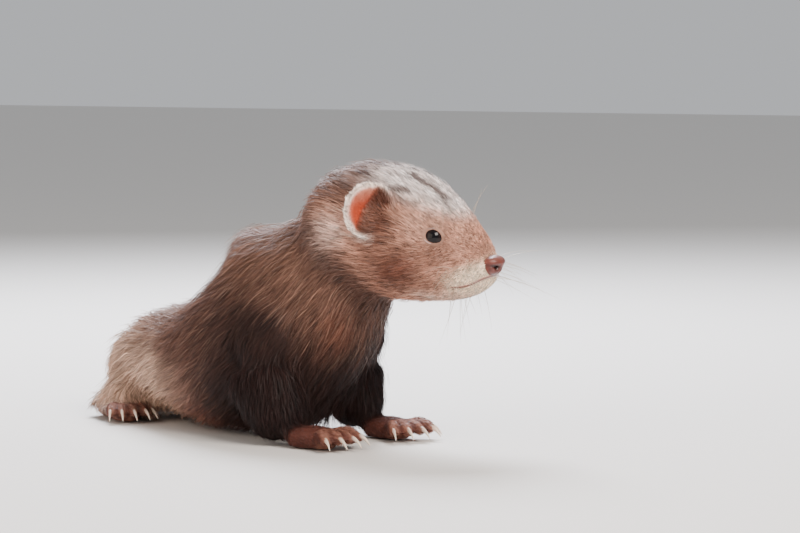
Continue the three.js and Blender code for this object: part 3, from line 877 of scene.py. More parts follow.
@dataclass
class Skin:
    """One closed skin over all the flesh, inside the solids by the depth of the coat.

    Args:
        voxel_mm: the grain of the remesh that makes it one surface.
        close_mm: how far each solid grows first, to close the gaps between neighbours.
        tail_draw: how far the tail's end draws back, as a share of its last length.
        hollow_mm: how much further in it goes under the nose leather.
        socket_mm: how much further in it goes round each eye.
        face_thinning: how much thinner the coat is at the nose than at the nape.
        depth_mm: how deep the coat is on each part.
        smoothing: how strongly each part is smoothed.
    """

    voxel_mm: float = 0.78
    close_mm: float = 0.22
    tail_draw: float = 0.45
    hollow_mm: float = 2.1
    socket_mm: float = 1.2
    face_thinning: float = 0.72
    depth_mm: dict[str, float] = field(default_factory=lambda: {
        "head": 1.5, "trunk": 3.5, "foreleg": 2.2, "hindleg": 3.0, "foot": 0.4, "tail": 2.6, "ear": 0.1,
    })
    smoothing: dict[str, float] = field(default_factory=lambda: {
        "head": 0.4, "trunk": 1.0, "foreleg": 1.0, "hindleg": 1.0, "foot": 0.12, "tail": 1.0, "ear": 0.3,
    })

    def build(self) -> None:
        """Merges the flesh solids, remeshes them as one and lets them in by the coat's depth."""
        self.piece = self._merged()
        mesh = self.piece.data
        count = len(mesh.vertices)
        places = np.zeros(count * 3)
        mesh.vertices.foreach_get("co", places)
        self.at = places.reshape(-1, 3)
        edges = np.zeros(len(mesh.edges) * 2, np.int64)
        mesh.edges.foreach_get("vertices", edges)
        self.edges = edges.reshape(-1, 2)
        self.degree = np.bincount(self.edges.ravel(), minlength=count).astype(float)
        self._weigh()
        amount = sum(self.weights[name] * self.smoothing[name] for name in PARTS)[:, None]
        self.at = self.smooth(self.at, 10, amount * 0.6)
        self._write()
        self.at = self.at - self.normals * (self._depth() * MM)[:, None]
        self.at = self.smooth(self.at, 6, amount * 0.55)
        self._draw_tail()
        self._write()
        self._unwrap()
        self.surface = BVHTree.FromPolygons(self.at.tolist(), self.triangles.tolist())

    def _merged(self) -> bpy.types.Object:
        """Joins all the flesh, and what fills its hollows, as one surface.

        Returns:
            The skin's piece, still as large as the solids.
        """
        joined = bmesh.new()
        for name in (*FLESH, *FILLED):
            part = bmesh.new()
            part.from_mesh(frame["nodes"][name].data)
            bmesh.ops.remove_doubles(part, verts=part.verts, dist=1e-6)
            bmesh.ops.recalc_face_normals(part, faces=part.faces)
            part.normal_update()
            for v in part.verts:
                v.co += v.normal * self.close_mm * MM
            mesh = bpy.data.meshes.new("part")
            part.to_mesh(mesh)
            part.free()
            joined.from_mesh(mesh)
            bpy.data.meshes.remove(mesh)
        mesh = bpy.data.meshes.new("skin")
        joined.to_mesh(mesh)
        joined.free()
        piece = put_in_scene("skin", mesh)
        remesh = piece.modifiers.new("one_surface", "REMESH")
        remesh.mode = "VOXEL"
        remesh.voxel_size = self.voxel_mm * MM
        bpy.context.view_layer.update()
        whole = bpy.data.meshes.new_from_object(piece.evaluated_get(bpy.context.evaluated_depsgraph_get()))
        piece.modifiers.clear()
        piece.data = whole
        whole.name = "skin"
        return piece

    def _weigh(self) -> None:
        """Finds how much each vertex belongs to each part, with soft borders between them."""
        points, owners = [], []
        for name in FLESH:
            mesh = frame["nodes"][name].data
            places = [polygon.center[:] for polygon in mesh.polygons]
            places += [vertex.co[:] for vertex in mesh.vertices]
            points += places
            owners += [PARTS.index(part_of(name))] * len(places)
        nearest = tree_of(points)
        label = np.array([owners[nearest.find(p)[1]] for p in self.at.tolist()])
        one = np.zeros((len(label), len(PARTS)))
        one[np.arange(len(label)), label] = 1
        soft = self.smooth(one, 14, 0.8)
        # The borders of ears and feet are sharper
        for name, times in {"ear": 2, "foot": 5}.items():
            i = PARTS.index(name)
            soft[:, i] = self.smooth(one[:, i], times, 0.8)
        soft /= soft.sum(axis=1, keepdims=True)
        self.weights = {name: soft[:, i] for i, name in enumerate(PARTS)}
        # Head and neck pass into each other over a wide band
        ahead = (to_work(self.at) - np.array(HEAD.cut_at)) @ unit(np.array(HEAD.cut_faces))
        share = step(ahead, -9, 9)
        together = self.weights["head"] + self.weights["trunk"]
        self.weights["head"], self.weights["trunk"] = together * share, together * (1 - share)

    def _depth(self) -> np.ndarray:
        """Works out how deep the coat is: less towards the nose, and more under it and round the eyes.

        Returns:
            For each vertex, how far it goes in, in millimetres.
        """
        depth = sum(self.weights[name] * self.depth_mm[name] for name in PARTS)
        h = row_to_head(self.at)
        depth *= 1 - self.weights["head"] * self.face_thinning * step(h[:, 0], 8, 38)
        depth = self.smooth(depth, 6, 0.7)
        depth += self.hollow_mm * step(-nose_distance(h), -1.1, -0.85)
        for side in Side:
            away = np.linalg.norm(EyeSocket(side).local(self.at), axis=1)
            depth += self.socket_mm * step(-away, -HEAD.eye_radius - 0.5, -HEAD.eye_radius)
        return depth

    def _draw_tail(self) -> None:
        """Draws the tail's end back, so that it stays behind the tips of its fur."""
        w = to_work(self.at)
        before_tip = np.array(BODY.tail[-2])
        line = unit(np.array(BODY.tail[-1]) - before_tip)
        pull = np.maximum((w - before_tip) @ line, 0) * self.tail_draw * (w[:, 1] > 90)
        self.at = self.at - line * (pull * MM)[:, None]

    def smooth(self, values: np.ndarray, times: int, amount: np.ndarray | float) -> np.ndarray:
        """Moves each vertex's values towards the mean of its neighbours'.

        Args:
            values: one value or one row a vertex.
            times: how often.
            amount: the share of the way each time, for all vertices or for each.
        Returns:
            The smoothed values, in the same shape.
        """
        flat = values.reshape(len(values), -1).astype(float)
        one, other = self.edges.T
        for _ in range(times):
            total = np.zeros_like(flat)
            for column, source in enumerate(flat.T):
                total[:, column] = np.bincount(one, source[other], len(flat))
                total[:, column] += np.bincount(other, source[one], len(flat))
            flat = flat + amount * (total / self.degree[:, None] - flat)
        return flat.reshape(values.shape)

    def _write(self) -> None:
        """Puts the places in the mesh and reads its new normals."""
        mesh = self.piece.data
        mesh.vertices.foreach_set("co", self.at.ravel())
        mesh.update()
        normals = np.zeros(len(self.at) * 3)
        mesh.vertices.foreach_get("normal", normals)
        self.normals = normals.reshape(-1, 3)

    def _unwrap(self) -> None:
        """Unwraps the skin and keeps its triangles with their places on the unwrap."""
        mesh = self.piece.data
        bpy.ops.object.select_all(action="DESELECT")
        self.piece.select_set(True)
        bpy.context.view_layer.objects.active = self.piece
        mesh.uv_layers.new(name=UV_MAP)
        bpy.ops.object.mode_set(mode="EDIT")
        bpy.ops.mesh.select_all(action="SELECT")
        bpy.ops.uv.smart_project(angle_limit=math.radians(66), island_margin=0.002)
        bpy.ops.object.mode_set(mode="OBJECT")
        mesh.polygons.foreach_set("use_smooth", np.ones(len(mesh.polygons), bool))
        mesh.calc_loop_triangles()
        triangles = np.zeros(len(mesh.loop_triangles) * 3, np.int64)
        mesh.loop_triangles.foreach_get("vertices", triangles)
        loops = np.zeros(len(mesh.loop_triangles) * 3, np.int64)
        mesh.loop_triangles.foreach_get("loops", loops)
        uv = np.zeros(len(mesh.loops) * 2)
        mesh.uv_layers[UV_MAP].data.foreach_get("uv", uv)
        self.triangles = triangles.reshape(-1, 3)
        self.triangle_uv = uv.reshape(-1, 2)[loops].reshape(-1, 3, 2)

    def dress(self) -> None:
        """Paints the markings, with their painted light and shade, on the skin and puts it in the place of
        the flesh solids.
        """
        # Painted shade: under long fur the skin is darker than the coat, as if in the shade of the hair, and
        # on ears and feet it is as light
        share = 0.55 + 0.45 * np.clip(self.weights["ear"] + self.weights["foot"], 0, 1)
        tint = MarkingsAndPaintedLight(self.at, self.weights).colour() * share[:, None]
        # Painted shade: the skin in the nose's hollow, under the leather, is nearly black
        hidden = step(-nose_distance(row_to_head(self.at)), -0.98, -0.85)
        paint(self.piece, mixed(tint, PAINT.nose_hollow_shade, hidden))
        dress(self.piece, SKIN.make(), FLESH)


# Fur


def flow(skin: Skin) -> np.ndarray:
    """The way the coat lies at each of the skin's vertices, along the skin.

    Args:
        skin: the built skin.
    Returns:
        One unit vector a vertex.
    """
    w = to_work(skin.at)
    h = row_to_head(skin.at)

    def along(points: tuple) -> np.ndarray:
        """The direction of a centre line next to each vertex."""
        line = curve_points(points)
        tangents = unit(np.gradient(line, axis=0))
        nearest = tree_of(line.tolist())
        return tangents[[nearest.find(p)[1] for p in w.tolist()]]

    face = unit(h - np.array(HEAD.lie_from))
    face[:, 2] += 0.1 * step(h[:, 0], 0, 20) * np.sign(h[:, 2] + 4)
    # Round each eye the coat parts
    for side in Side:
        mirror = (1, side.value, 1)
        eye = np.array(HEAD.eye) * mirror + np.array(HEAD.eye_looks) * mirror * 3.6
        away = h - eye
        near = np.exp(-np.sum(away**2, axis=1) / 5.0**2)[:, None]
        face = face + 1.1 * near * unit(away)
    # On the trunk and the limbs it runs along them and sinks
    trunk = along(BODY.trunk)
    level = np.abs(np.cross(trunk, skin.normals)[:, 2])
    trunk = trunk + np.array([0, 0, -0.45]) * (1 - level * 0.4)[:, None]
    foreleg = np.where((w[:, 1] < 0)[:, None], along(BODY.foreleg_right), along(BODY.foreleg_left))
    heading = math.radians(BODY.pelvis_heading)
    ahead = np.array([math.cos(heading), math.sin(heading), 0])
    down = np.array([0, 0, -1])
    foot = np.where((w[:, 0] > -45)[:, None], np.array([1.0, 0, 0]), ahead) + 0.35 * down
    # On the ears it spreads from the foot of each
    ears = np.zeros_like(w)
    for side in Side:
        foot_of_ear = np.array(HEAD.ear) * (1, side.value, 1) + np.array([2.5, -3.0 * side.value, -8])
        ears = np.where((h[:, 1] * side.value > 0)[:, None], unit(h - foot_of_ear), ears)
    fields = {"head": face @ HEAD_TURN.T, "trunk": trunk, "foreleg": foreleg + np.array([-0.35, 0, -0.5]),
              "hindleg": np.tile(-0.5 * ahead + 0.8 * down, (len(w), 1)), "foot": foot,
              "tail": along(BODY.tail), "ear": ears @ HEAD_TURN.T}
    total = sum(skin.weights[name][:, None] * unit(fields[name]) for name in PARTS)
    total = skin.smooth(total, 4, 0.6)
    total -= skin.normals * np.sum(total * skin.normals, axis=1, keepdims=True)
    return unit(total)


@dataclass(frozen=True)
class CoatPlan:
    """How much fur one piece of the coat carries and how it stands.

    Args:
        name: the piece's name.
        slot: the name of a material slot; it is not used.
        hairs: how many locks.
        length: mean length in millimetres.
        width: width at the root in millimetres.
        lift: how steeply it leaves the skin, in degrees.
        clump: how far tips gather to their clump.
        long: whether it is long fur, much darker at the root by painted shade, or short fur, pale at the tip
            and a little darker at the root by painted shade.
        clump_mm: how far apart the clumps stand.
    """

    name: str
    slot: str
    hairs: int
    length: float
    width: float
    lift: float
    clump: float
    long: bool = True
    clump_mm: float = 2.4


@dataclass
class Roots:
    """Where the locks of one piece of the coat stand on the skin, one row a lock.

    Args:
        at: places in the row frame, in metres.
        normal: the skin's normals.
        lie: the way the coat lies.
        colour: the colours of the markings and of the painted light and shade.
        uv: places on the skin's unwrap.
    """

    at: np.ndarray
    normal: np.ndarray
    lie: np.ndarray
    colour: np.ndarray
    uv: np.ndarray

    def __post_init__(self) -> None:
        """Works out the places in both millimetre frames and the direction across each lock."""
        self.w = to_work(self.at)
        self.h = row_to_head(self.at)
        self.side = np.cross(self.normal, self.lie)


@dataclass
class Coat:
    """All the fur, as thin tapered locks rooted in the skin.

    Args:
        skin: the built skin.
        plans: its pieces.
        patch: the size of each lock's patch on the unwrap.
        sunk_mm: how far the roots are sunk in the skin.
        bare_sole_mm: how high the bare soles reach.
        bare_lip_mm: how far from the mouth's line the lips are bare.
        bare_eye_mm: half the length and half the height of the bare patch round each eye.
        trunk_planes: where the trunk's fur is divided, from the neck backwards.
    """

    skin: Skin
    plans: tuple[CoatPlan, ...] = (
        CoatPlan("fur_face", "face_fur", 64000, 3.6, 0.17, 19, 0.4, False, 1.1),
        CoatPlan("fur_hood", "face_fur", 64000, 6.6, 0.18, 19, 0.45, False, 1.5),
        CoatPlan("fur_ears", "face_fur", 14000, 2.2, 0.13, 20, 0.25, False, 0.9),
        CoatPlan("fur_neck", "body_fur", 60000, 9.5, 0.165, 20, 0.5, True, 1.9),
        CoatPlan("fur_chest", "body_fur", 62000, 11.5, 0.165, 20, 0.5, True, 2.1),
        CoatPlan("fur_back", "body_fur", 60000, 12.5, 0.17, 21, 0.5, True, 2.3),
        CoatPlan("fur_rump", "pale_fur", 60000, 12.5, 0.17, 22, 0.5, True, 2.3),
        CoatPlan("fur_tail", "body_fur", 26000, 13, 0.18, 17, 0.4),
        CoatPlan("fur_forelegs", "dark_fur", 42000, 8.5, 0.165, 17, 0.4, True, 1.9),
        CoatPlan("fur_hindlegs", "pale_fur", 30000, 10, 0.18, 18, 0.5, True, 2.1),
        CoatPlan("fur_feet", "paw_skin", 20000, 1.7, 0.13, 16, 0.3, False, 0.9),
    )
    patch: float = 0.003
    sunk_mm: float = 0.15
    bare_sole_mm: float = 0.9
    bare_lip_mm: float = 0.6
    bare_eye_mm: tuple[float, float] = (3.95, 2.85)
    trunk_planes: tuple[float, float, float] = (-14, -46, -84)

    def build(self) -> None:
        """Grows each piece's fur."""
        skin = self.skin
        self.lie = flow(skin)
        self.colours = MarkingsAndPaintedLight(skin.at, skin.weights).colour()
        self.nearest = tree_of(skin.at.tolist())
        corners = skin.at[skin.triangles]
        cross = np.cross(corners[:, 1] - corners[:, 0], corners[:, 2] - corners[:, 0])
        self.area = np.linalg.norm(cross, axis=1) / 2
        self.middle = corners.mean(axis=1)
        self.owner = self._owners()
        self.bare = self._bare()
        self.pieces = [self._grow(plan, index) for index, plan in enumerate(self.plans)]

    def _owners(self) -> np.ndarray:
        """Shares the skin's triangles out among the plans.

        Returns:
            For each triangle, the number of its plan.
        """
        skin = self.skin
        weights = np.stack([skin.weights[name][skin.triangles].mean(axis=1) for name in PARTS], axis=1)
        part = weights.argmax(axis=1)
        w = to_work(self.middle)
        h = row_to_head(self.middle)
        names = [plan.name for plan in self.plans]
        owner = np.full(len(part), -1)
        head = part == PARTS.index("head")
        owner[head & (h[:, 0] > HEAD.face_from)] = names.index("fur_face")
        owner[head & (h[:, 0] <= HEAD.face_from)] = names.index("fur_hood")
        # The trunk is divided by slanting planes
        trunk = part == PARTS.index("trunk")
        reach = w[:, 0] - 0.5 * w[:, 1]
        fronts, backs = (math.inf, *self.trunk_planes), (*self.trunk_planes, -math.inf)
        for name, front, back in zip(("fur_neck", "fur_chest", "fur_back", "fur_rump"), fronts, backs):
            owner[trunk & (reach <= front) & (reach > back)] = names.index(name)
        whole = {"ear": "fur_ears", "tail": "fur_tail", "foreleg": "fur_forelegs", "hindleg": "fur_hindlegs",
                 "foot": "fur_feet"}
        for name, plan in whole.items():
            owner[part == PARTS.index(name)] = names.index(plan)
        return owner

    def _bare(self) -> np.ndarray:
        """Finds the triangles without fur, at the lids, the nose, the lips and the soles.

        Returns:
            For each triangle, whether it is bare.
        """
        h = row_to_head(self.middle)
        bare = np.zeros(len(h), bool)
        for side in Side:
            local = EyeSocket(side).local(self.middle)
            away = (local[:, :2] - np.array([0.25, -0.15])) / np.array(self.bare_eye_mm)
            bare |= (np.hypot(*away.T) < 1.0) & (local[:, 2] > -4)
        bare |= nose_distance(h, 0.15) < 1.0
        near = np.where((h[:, 0] > 27) & (h[:, 2] < -5))[0]
        for side in Side:
            line, _ = lip_curve(self.skin, side)
            gap = np.linalg.norm(h[near][:, None] - line[None], axis=2)
            width = self.bare_lip_mm * (1 - step(gap.argmin(axis=1) / len(line), 0.45, 0.8))
            bare[near[gap.min(axis=1) < width]] = True
        bare |= to_work(self.middle)[:, 2] < self.bare_sole_mm
        return bare

    def _grow(self, plan: CoatPlan, index: int) -> bpy.types.Object:
        """Makes one piece of the coat.

        Args:
            plan: how it stands.
            index: its number among the plans.
        Returns:
            The painted piece, with its patches on the unwrap.
        """
        rng = np.random.default_rng(SEED + index)
        mine = np.where((self.owner == index) & ~self.bare)[0]
        area = np.cumsum(self.area[mine])
        roots = self._scatter(plan, rng, mine, area)
        length = self._lengths(plan, rng, roots)
        mid, tip = self._bend(plan, rng, roots, length)

        # Tips gather into clumps
        total = max(int(area[-1] / (plan.clump_mm * MM) ** 2), 8)
        leaders = rng.choice(plan.hairs, min(total, plan.hairs), replace=False)
        heads = tree_of(roots.at[leaders].tolist())
        leader = leaders[[heads.find(p)[1] for p in roots.at.tolist()]]
        pull = plan.clump * (0.5 + 0.5 * rng.random(plan.hairs))[:, None]
        tip = tip + (tip[leader] - tip) * pull
        mid = mid + (mid[leader] - mid) * pull * 0.35
        # Nothing grows through the floor
        mid[:, 2] = np.maximum(mid[:, 2], 0.5 * MM)
        tip[:, 2] = np.maximum(tip[:, 2], 0.3 * MM)

        # Each lock is a ribbon, twisted a little about its own line
        turn = rng.normal(0, 0.45, plan.hairs)
        broad = roots.side * np.cos(turn)[:, None] + roots.normal * np.sin(turn)[:, None]
        half = broad * plan.width * MM * (0.35 + 0.3 * rng.random(plan.hairs))[:, None]
        root = roots.at - roots.normal * self.sunk_mm * MM
        corners = [root - half * 0.9, root + half * 0.9, mid - half, mid + half, tip]
        tuft = rng.random(len(leaders))[np.searchsorted(np.sort(leaders), leader) % len(leaders)]
        low, middle, high = self._tints(plan, rng, roots.colour, tuft)
        piece = self._ribbons(plan.name, np.stack(corners, axis=1))
        paint(piece, np.stack([low, low, middle, middle, high], axis=1).reshape(-1, 3))
        # Its patch is at its root's place on the skin's unwrap
        patch = np.array([[0, 0], [1, 0], [0, 0.5], [1, 0.5], [0.5, 1]]) - 0.5
        spots = (roots.uv[:, None, :] + patch[None] * self.patch).reshape(-1, 2)
        loops = np.zeros(len(piece.data.loops), np.int64)
        piece.data.loops.foreach_get("vertex_index", loops)
        piece.data.uv_layers.new(name=UV_MAP).data.foreach_set("uv", spots[loops].ravel())
        return piece

    def _scatter(self, plan: CoatPlan, rng: np.random.Generator, mine: np.ndarray, area: np.ndarray) -> Roots:
        """Spreads roots evenly over the skin.

        Args:
            plan: the piece's plan.
            rng: its random numbers.
            mine: the numbers of its triangles.
            area: the running sum of their areas.
        Returns:
            The roots.
        """
        skin = self.skin
        picks = (np.arange(plan.hairs) + rng.random(plan.hairs)) / plan.hairs * area[-1]
        which = mine[np.minimum(np.searchsorted(area, picks), len(mine) - 1)]
        a, b = rng.random(plan.hairs), rng.random(plan.hairs)
        swap = a + b > 1
        a[swap], b[swap] = 1 - a[swap], 1 - b[swap]
        shares = np.stack([1 - a - b, a, b], axis=1)[:, :, None]
        corners = skin.triangles[which]

        def between(values: np.ndarray) -> np.ndarray:
            """What the vertices' values are at each root."""
            return (values[corners] * shares).sum(axis=1)

        return Roots(between(skin.at), unit(between(skin.normals)), unit(between(self.lie)),
                     between(self.colours), (skin.triangle_uv[which] * shares).sum(axis=1))

    @staticmethod
    def _lengths(plan: CoatPlan, rng: np.random.Generator, roots: Roots) -> np.ndarray:
        """Each lock's length in millimetres: short towards the nose, the eyes and the toes.

        Args:
            plan: the piece's plan.
            rng: its random numbers.
            roots: where the locks stand.
        Returns:
            One length a lock.
        """
        w, h = roots.w, roots.h
        length = plan.length * (0.72 + 0.5 * rng.random(plan.hairs))
        if plan.name == "fur_face":
            length *= 0.38 + 0.8 * (1 - step(h[:, 0], 18, 39))
            length *= 1 - 0.35 * step(-h[:, 2], 5, 9) * step(h[:, 0], 30, 36)
            for side in Side:
                local = EyeSocket(side).local(roots.at)
                length *= 1 - 0.45 * np.exp(-np.sum(local**2, axis=1) / 6.0**2)
        if plan.name == "fur_hood":
            length *= 0.75 + 0.6 * step(-h[:, 0], -14, 14)
        if plan.name == "fur_tail":
            length *= 0.9 + 0.35 * step(w[:, 1], 60, 120)
        if plan.name == "fur_forelegs":
            length *= 0.55 + 0.6 * step(w[:, 2], 6, 30)
        if plan.name in ("fur_ears", "fur_hood", "fur_face"):
            # Hardly any hair at the back of the cup, longer hair from its front edge
            longer = 0.5 if plan.name == "fur_ears" else -0.45
            for side in Side:
                inside, _, front = EarFrame(side).masks(roots.at)
                length *= 1 - inside * (0.8 * (1 - front) - longer * front)
        return length

    def _bend(self, plan: CoatPlan, rng: np.random.Generator, roots: Roots,
              length: np.ndarray) -> tuple[np.ndarray, np.ndarray]:
        """Lays each lock along the coat, with one bend.

        Args:
            plan: the piece's plan.
            rng: its random numbers.
            roots: where the locks stand.
            length: their lengths in millimetres.
        Returns:
            The places of the bends and of the tips.
        """
        wild = rng.random(plan.hairs) < (0.05 if plan.long else 0.03)
        sway = rng.normal(0, 0.13, plan.hairs) + 0.5 * (noise(roots.w, 7.0, 11) - 0.5)
        across = roots.side * sway[:, None]
        lie = unit(roots.lie + across)
        # Between the forelegs the coat hangs
        hangs = plan.name in ("fur_chest", "fur_neck")
        hanging = blob(roots.w, (-6, 0, 22), 17) if hangs else np.zeros(plan.hairs)
        size = (length * np.where(wild, 1.2, 1) * (1 + 0.5 * hanging) * MM)[:, None]
        lift = plan.lift * (0.6 + 0.8 * rng.random(plan.hairs))
        lift = np.radians(lift + np.where(wild, 14, 0) + 22 * hanging)
        mid = roots.at + (lie * np.cos(lift)[:, None] + roots.normal * np.sin(lift)[:, None]) * 0.48 * size
        near = np.array([self.nearest.find(p)[1] for p in mid.tolist()])
        normal = self.skin.normals[near]
        late = self.lie[near] + across
        late = unit(late - normal * np.sum(late * normal, axis=1, keepdims=True))
        settle = lift * 0.12 + np.where(wild, 0.15, 0)
        return mid, mid + (late * np.cos(settle)[:, None] + normal * np.sin(settle)[:, None]) * 0.52 * size

    @staticmethod
    def _tints(plan: CoatPlan, rng: np.random.Generator, colour: np.ndarray,
               tuft: np.ndarray) -> tuple[np.ndarray, np.ndarray, np.ndarray]:
        """Colours each lock, with some pale and some inky ones among the others, and painted shade at its
        root.

        Args:
            plan: the piece's plan.
            rng: its random numbers.
            colour: the colours of the markings and of the painted light and shade at the roots.
            tuft: how light each lock's clump is, from 0 to 1.
        Returns:
            The colours at the roots, the bends and the tips.
        """
        shade = 0.52 + 0.64 * rng.random(plan.hairs) + 0.36 * tuft
        lightness = colour.mean(axis=1)
        pale = (rng.random(plan.hairs) < (0.13 if plan.long else 0.2) * step(lightness, 0.015, 0.05))[:, None]
        inky = (rng.random(plan.hairs) < (0.12 if plan.long else 0.17))[:, None]
        base = colour * shade[:, None] * np.where(inky, 0.36, 1.05)
        # Painted shade: each lock is darker at its root, deep in the coat, long locks much more than short
        # ones
        if plan.long:
            underfur = 1.35 * base + 0.13 * linear(PAINT.flank)
            return (np.where(pale, underfur * 0.8, 0.45 * base), np.where(pale, underfur, base),
                    np.where(pale, underfur * 1.3, base * 0.95))
        light = np.minimum(base * 1.35 + 0.06, 0.9)
        return base * 0.72, np.where(pale, 0.5 * (base + light), base), np.where(pale, light, base * 1.15)

    @staticmethod
    def _ribbons(name: str, corners: np.ndarray) -> bpy.types.Object:
        """Makes a mesh of ribbons, each a quad that ends in a triangle, quickly from whole arrays.

        Args:
            name: the piece's name.
            corners: five places for each ribbon.
        Returns:
            The piece.
        """
        count = len(corners)
        loops = np.arange(count)[:, None] * corners.shape[1] + np.array([0, 1, 3, 2, 2, 3, 4])
        sizes = np.tile([4, 3], count)
        mesh = bpy.data.meshes.new(name)
        mesh.vertices.add(count * corners.shape[1])
        mesh.vertices.foreach_set("co", corners.ravel())
        mesh.loops.add(loops.size)
        mesh.loops.foreach_set("vertex_index", loops.ravel())
        mesh.polygons.add(len(sizes))
        mesh.polygons.foreach_set("loop_start", np.concatenate([[0], np.cumsum(sizes)[:-1]]))
        mesh.update(calc_edges=True)
        return put_in_scene(name, mesh)

    def dress(self) -> None:
        """Puts the fur's finish on every piece."""
        material = FUR.make()
        for piece, plan in zip(self.pieces, self.plans):
            dress(piece, material)


# Eyes


@dataclass(frozen=True)
class EyeSocket:
    """The frame of one eye: along its opening, across it and out of it.

    Args:
        side: which eye.
        half_mm: half the length of the opening.
        upper_mm: how far it opens upwards.
        lower_mm: how far it opens downwards.
        corner_mm: how far its inner corner is drawn out.
    """

    side: Side
    half_mm: float = 3.5
    upper_mm: float = 2.4
    lower_mm: float = 2.3
    corner_mm: float = 0.4

    def frame(self) -> tuple[np.ndarray, np.ndarray]:
        """Its centre in the row frame and its three axes as rows."""
        mirror = np.array([1, self.side.value, 1])
        centre = head_to_row(np.array(HEAD.eye) * mirror)
        looks = unit(np.array(HEAD.eye_looks) * mirror)
        length = np.array([0.87, -0.42, -0.3]) * mirror
        length = unit(length - looks * (length @ looks))
        across = np.cross(looks, length)
        across = -across if across[2] < 0 else across
        return centre, np.array([length, across, looks]) @ HEAD_TURN.T

    def local(self, points: np.ndarray) -> np.ndarray:
        """Row-frame metres to millimetres in this frame."""
        centre, axes = self.frame()
        return (np.asarray(points) - centre) @ axes.T / MM

    def row(self, points: np.ndarray) -> np.ndarray:
        """Millimetres in this frame to row-frame metres."""
        centre, axes = self.frame()
        return np.asarray(points) @ axes * MM + centre

    def rim(self, grow: float, radius: float, angle: np.ndarray) -> np.ndarray:
        """Points of an almond round the opening.

        Args:
            grow: how far outside the opening it is, in millimetres.
            radius: the ball that it lies on, in millimetres.
            angle: where round the opening each point is, from the inner corner.
        Returns:
            The points, in millimetres of this frame.
        """
        x = self.half_mm * np.cos(angle)
        opening = np.where(np.sin(angle) > 0, self.upper_mm, self.lower_mm)
        y = opening * np.sign(np.sin(angle)) * np.abs(np.sin(angle)) ** 1.12
        # The inner corner is drawn out and dips
        x = x + self.corner_mm * step(x, 2.0, 3.5)
        y = y - 0.5 * step(x, 1.0, 3.6)
        out = unit(np.stack([x / 7.5, y / 4.4], axis=1))
        grow = grow * (1 + 0.9 * np.maximum(np.cos(angle), 0) ** 4 * (grow > 0))
        x, y = x + out[:, 0] * grow, y + out[:, 1] * grow
        z = np.sqrt(np.maximum(radius**2 - x**2 - y**2, 0.5))
        return np.stack([x, y, z], axis=1)


@dataclass
class Eye:
    """One eye with its wet ball and its lids.

    Args:
        side: which eye.
        segments: steps round the ball.
        rings: steps from pole to pole.
        lid_segments: steps round the lids.
        cornea_mm: how far the cornea stands out.
        lid_rings: for each ring of the lids, how far outside the opening it is, how far off the
            ball, both in millimetres, and its colour.
    """

    side: Side
    segments: int = 48
    rings: int = 32
    lid_segments: int = 96
    cornea_mm: float = 0.22
    lid_rings: tuple[tuple[float, float, str], ...] = (
        (-0.25, -0.2, PAINT.lid_wet), (-0.06, 0.08, PAINT.lid_edge), (0.06, 0.26, PAINT.lid),
        (0.22, 0.36, PAINT.lid), (0.42, 0.34, PAINT.lid_crease), (0.7, 0.18, PAINT.lid_fold),
        (1.1, -0.2, PAINT.lid_skin), (1.8, -1.2, PAINT.lid_skin),
    )

    def build(self) -> None:
        """Makes the ball and the ring of the lids."""
        self.socket = EyeSocket(self.side)
        self._build_ball()
        self._build_lids()

    def _build_ball(self) -> None:
        """Makes a ball whose cornea stands out a little over the iris."""
        name = f"eyeball_{SIDES[self.side]}"
        ball = bmesh.new()
        bmesh.ops.create_uvsphere(ball, u_segments=self.segments, v_segments=self.rings,
                                  radius=HEAD.eye_radius * MM)
        mesh = bpy.data.meshes.new(name)
        ball.to_mesh(mesh)
        ball.free()
        places = np.array([v.co[:] for v in mesh.vertices]) / MM
        away = np.hypot(places[:, 0], places[:, 1])
        front = places[:, 2] > 0
        places[:, 2] += np.where(front, self.cornea_mm * np.exp(-((away / 2.0) ** 2)), 0)
        mesh.vertices.foreach_set("co", self.socket.row(places).ravel())
        mesh.update()
        self.ball = put_in_scene(name, mesh)
        iris = np.clip(1 - np.abs(away - 2.1) / 0.9, 0, 1) * front
        tint = mixed(np.tile(linear(PAINT.pupil), (len(places), 1)), PAINT.iris, iris)
        paint(self.ball, mixed(tint, PAINT.eye_edge, step(away, 2.9, 3.4) * front))

    def _build_lids(self) -> None:
        """Lays the lids' rings round the opening."""
        angle = np.linspace(0, 2 * math.pi, self.lid_segments, endpoint=False)
        points = np.stack([self.socket.rim(grow, HEAD.eye_radius + off, angle)
                           for grow, off, _ in self.lid_rings])
        centre, _ = self.socket.frame()
        self.lids = bend_grids(f"lids_{SIDES[self.side]}", [self.socket.row(points)], centre, capped=False)
        tint = np.repeat([linear(colour) for *_, colour in self.lid_rings], self.lid_segments, axis=0)
        # The lower lid and both corners are paler than the upper lid
        paler = 0.85 + 0.35 * np.cos(angle) ** 2 - 0.35 * np.sin(angle)
        paint(self.lids, tint * np.tile(paler, len(self.lid_rings))[:, None])

    def dress(self) -> None:
        """Puts on the finishes."""
        dress(self.ball, EYE.make(), (f"eye_{SIDES[self.side]}",))
        dress(self.lids, MOIST.make())


# Nose and lips


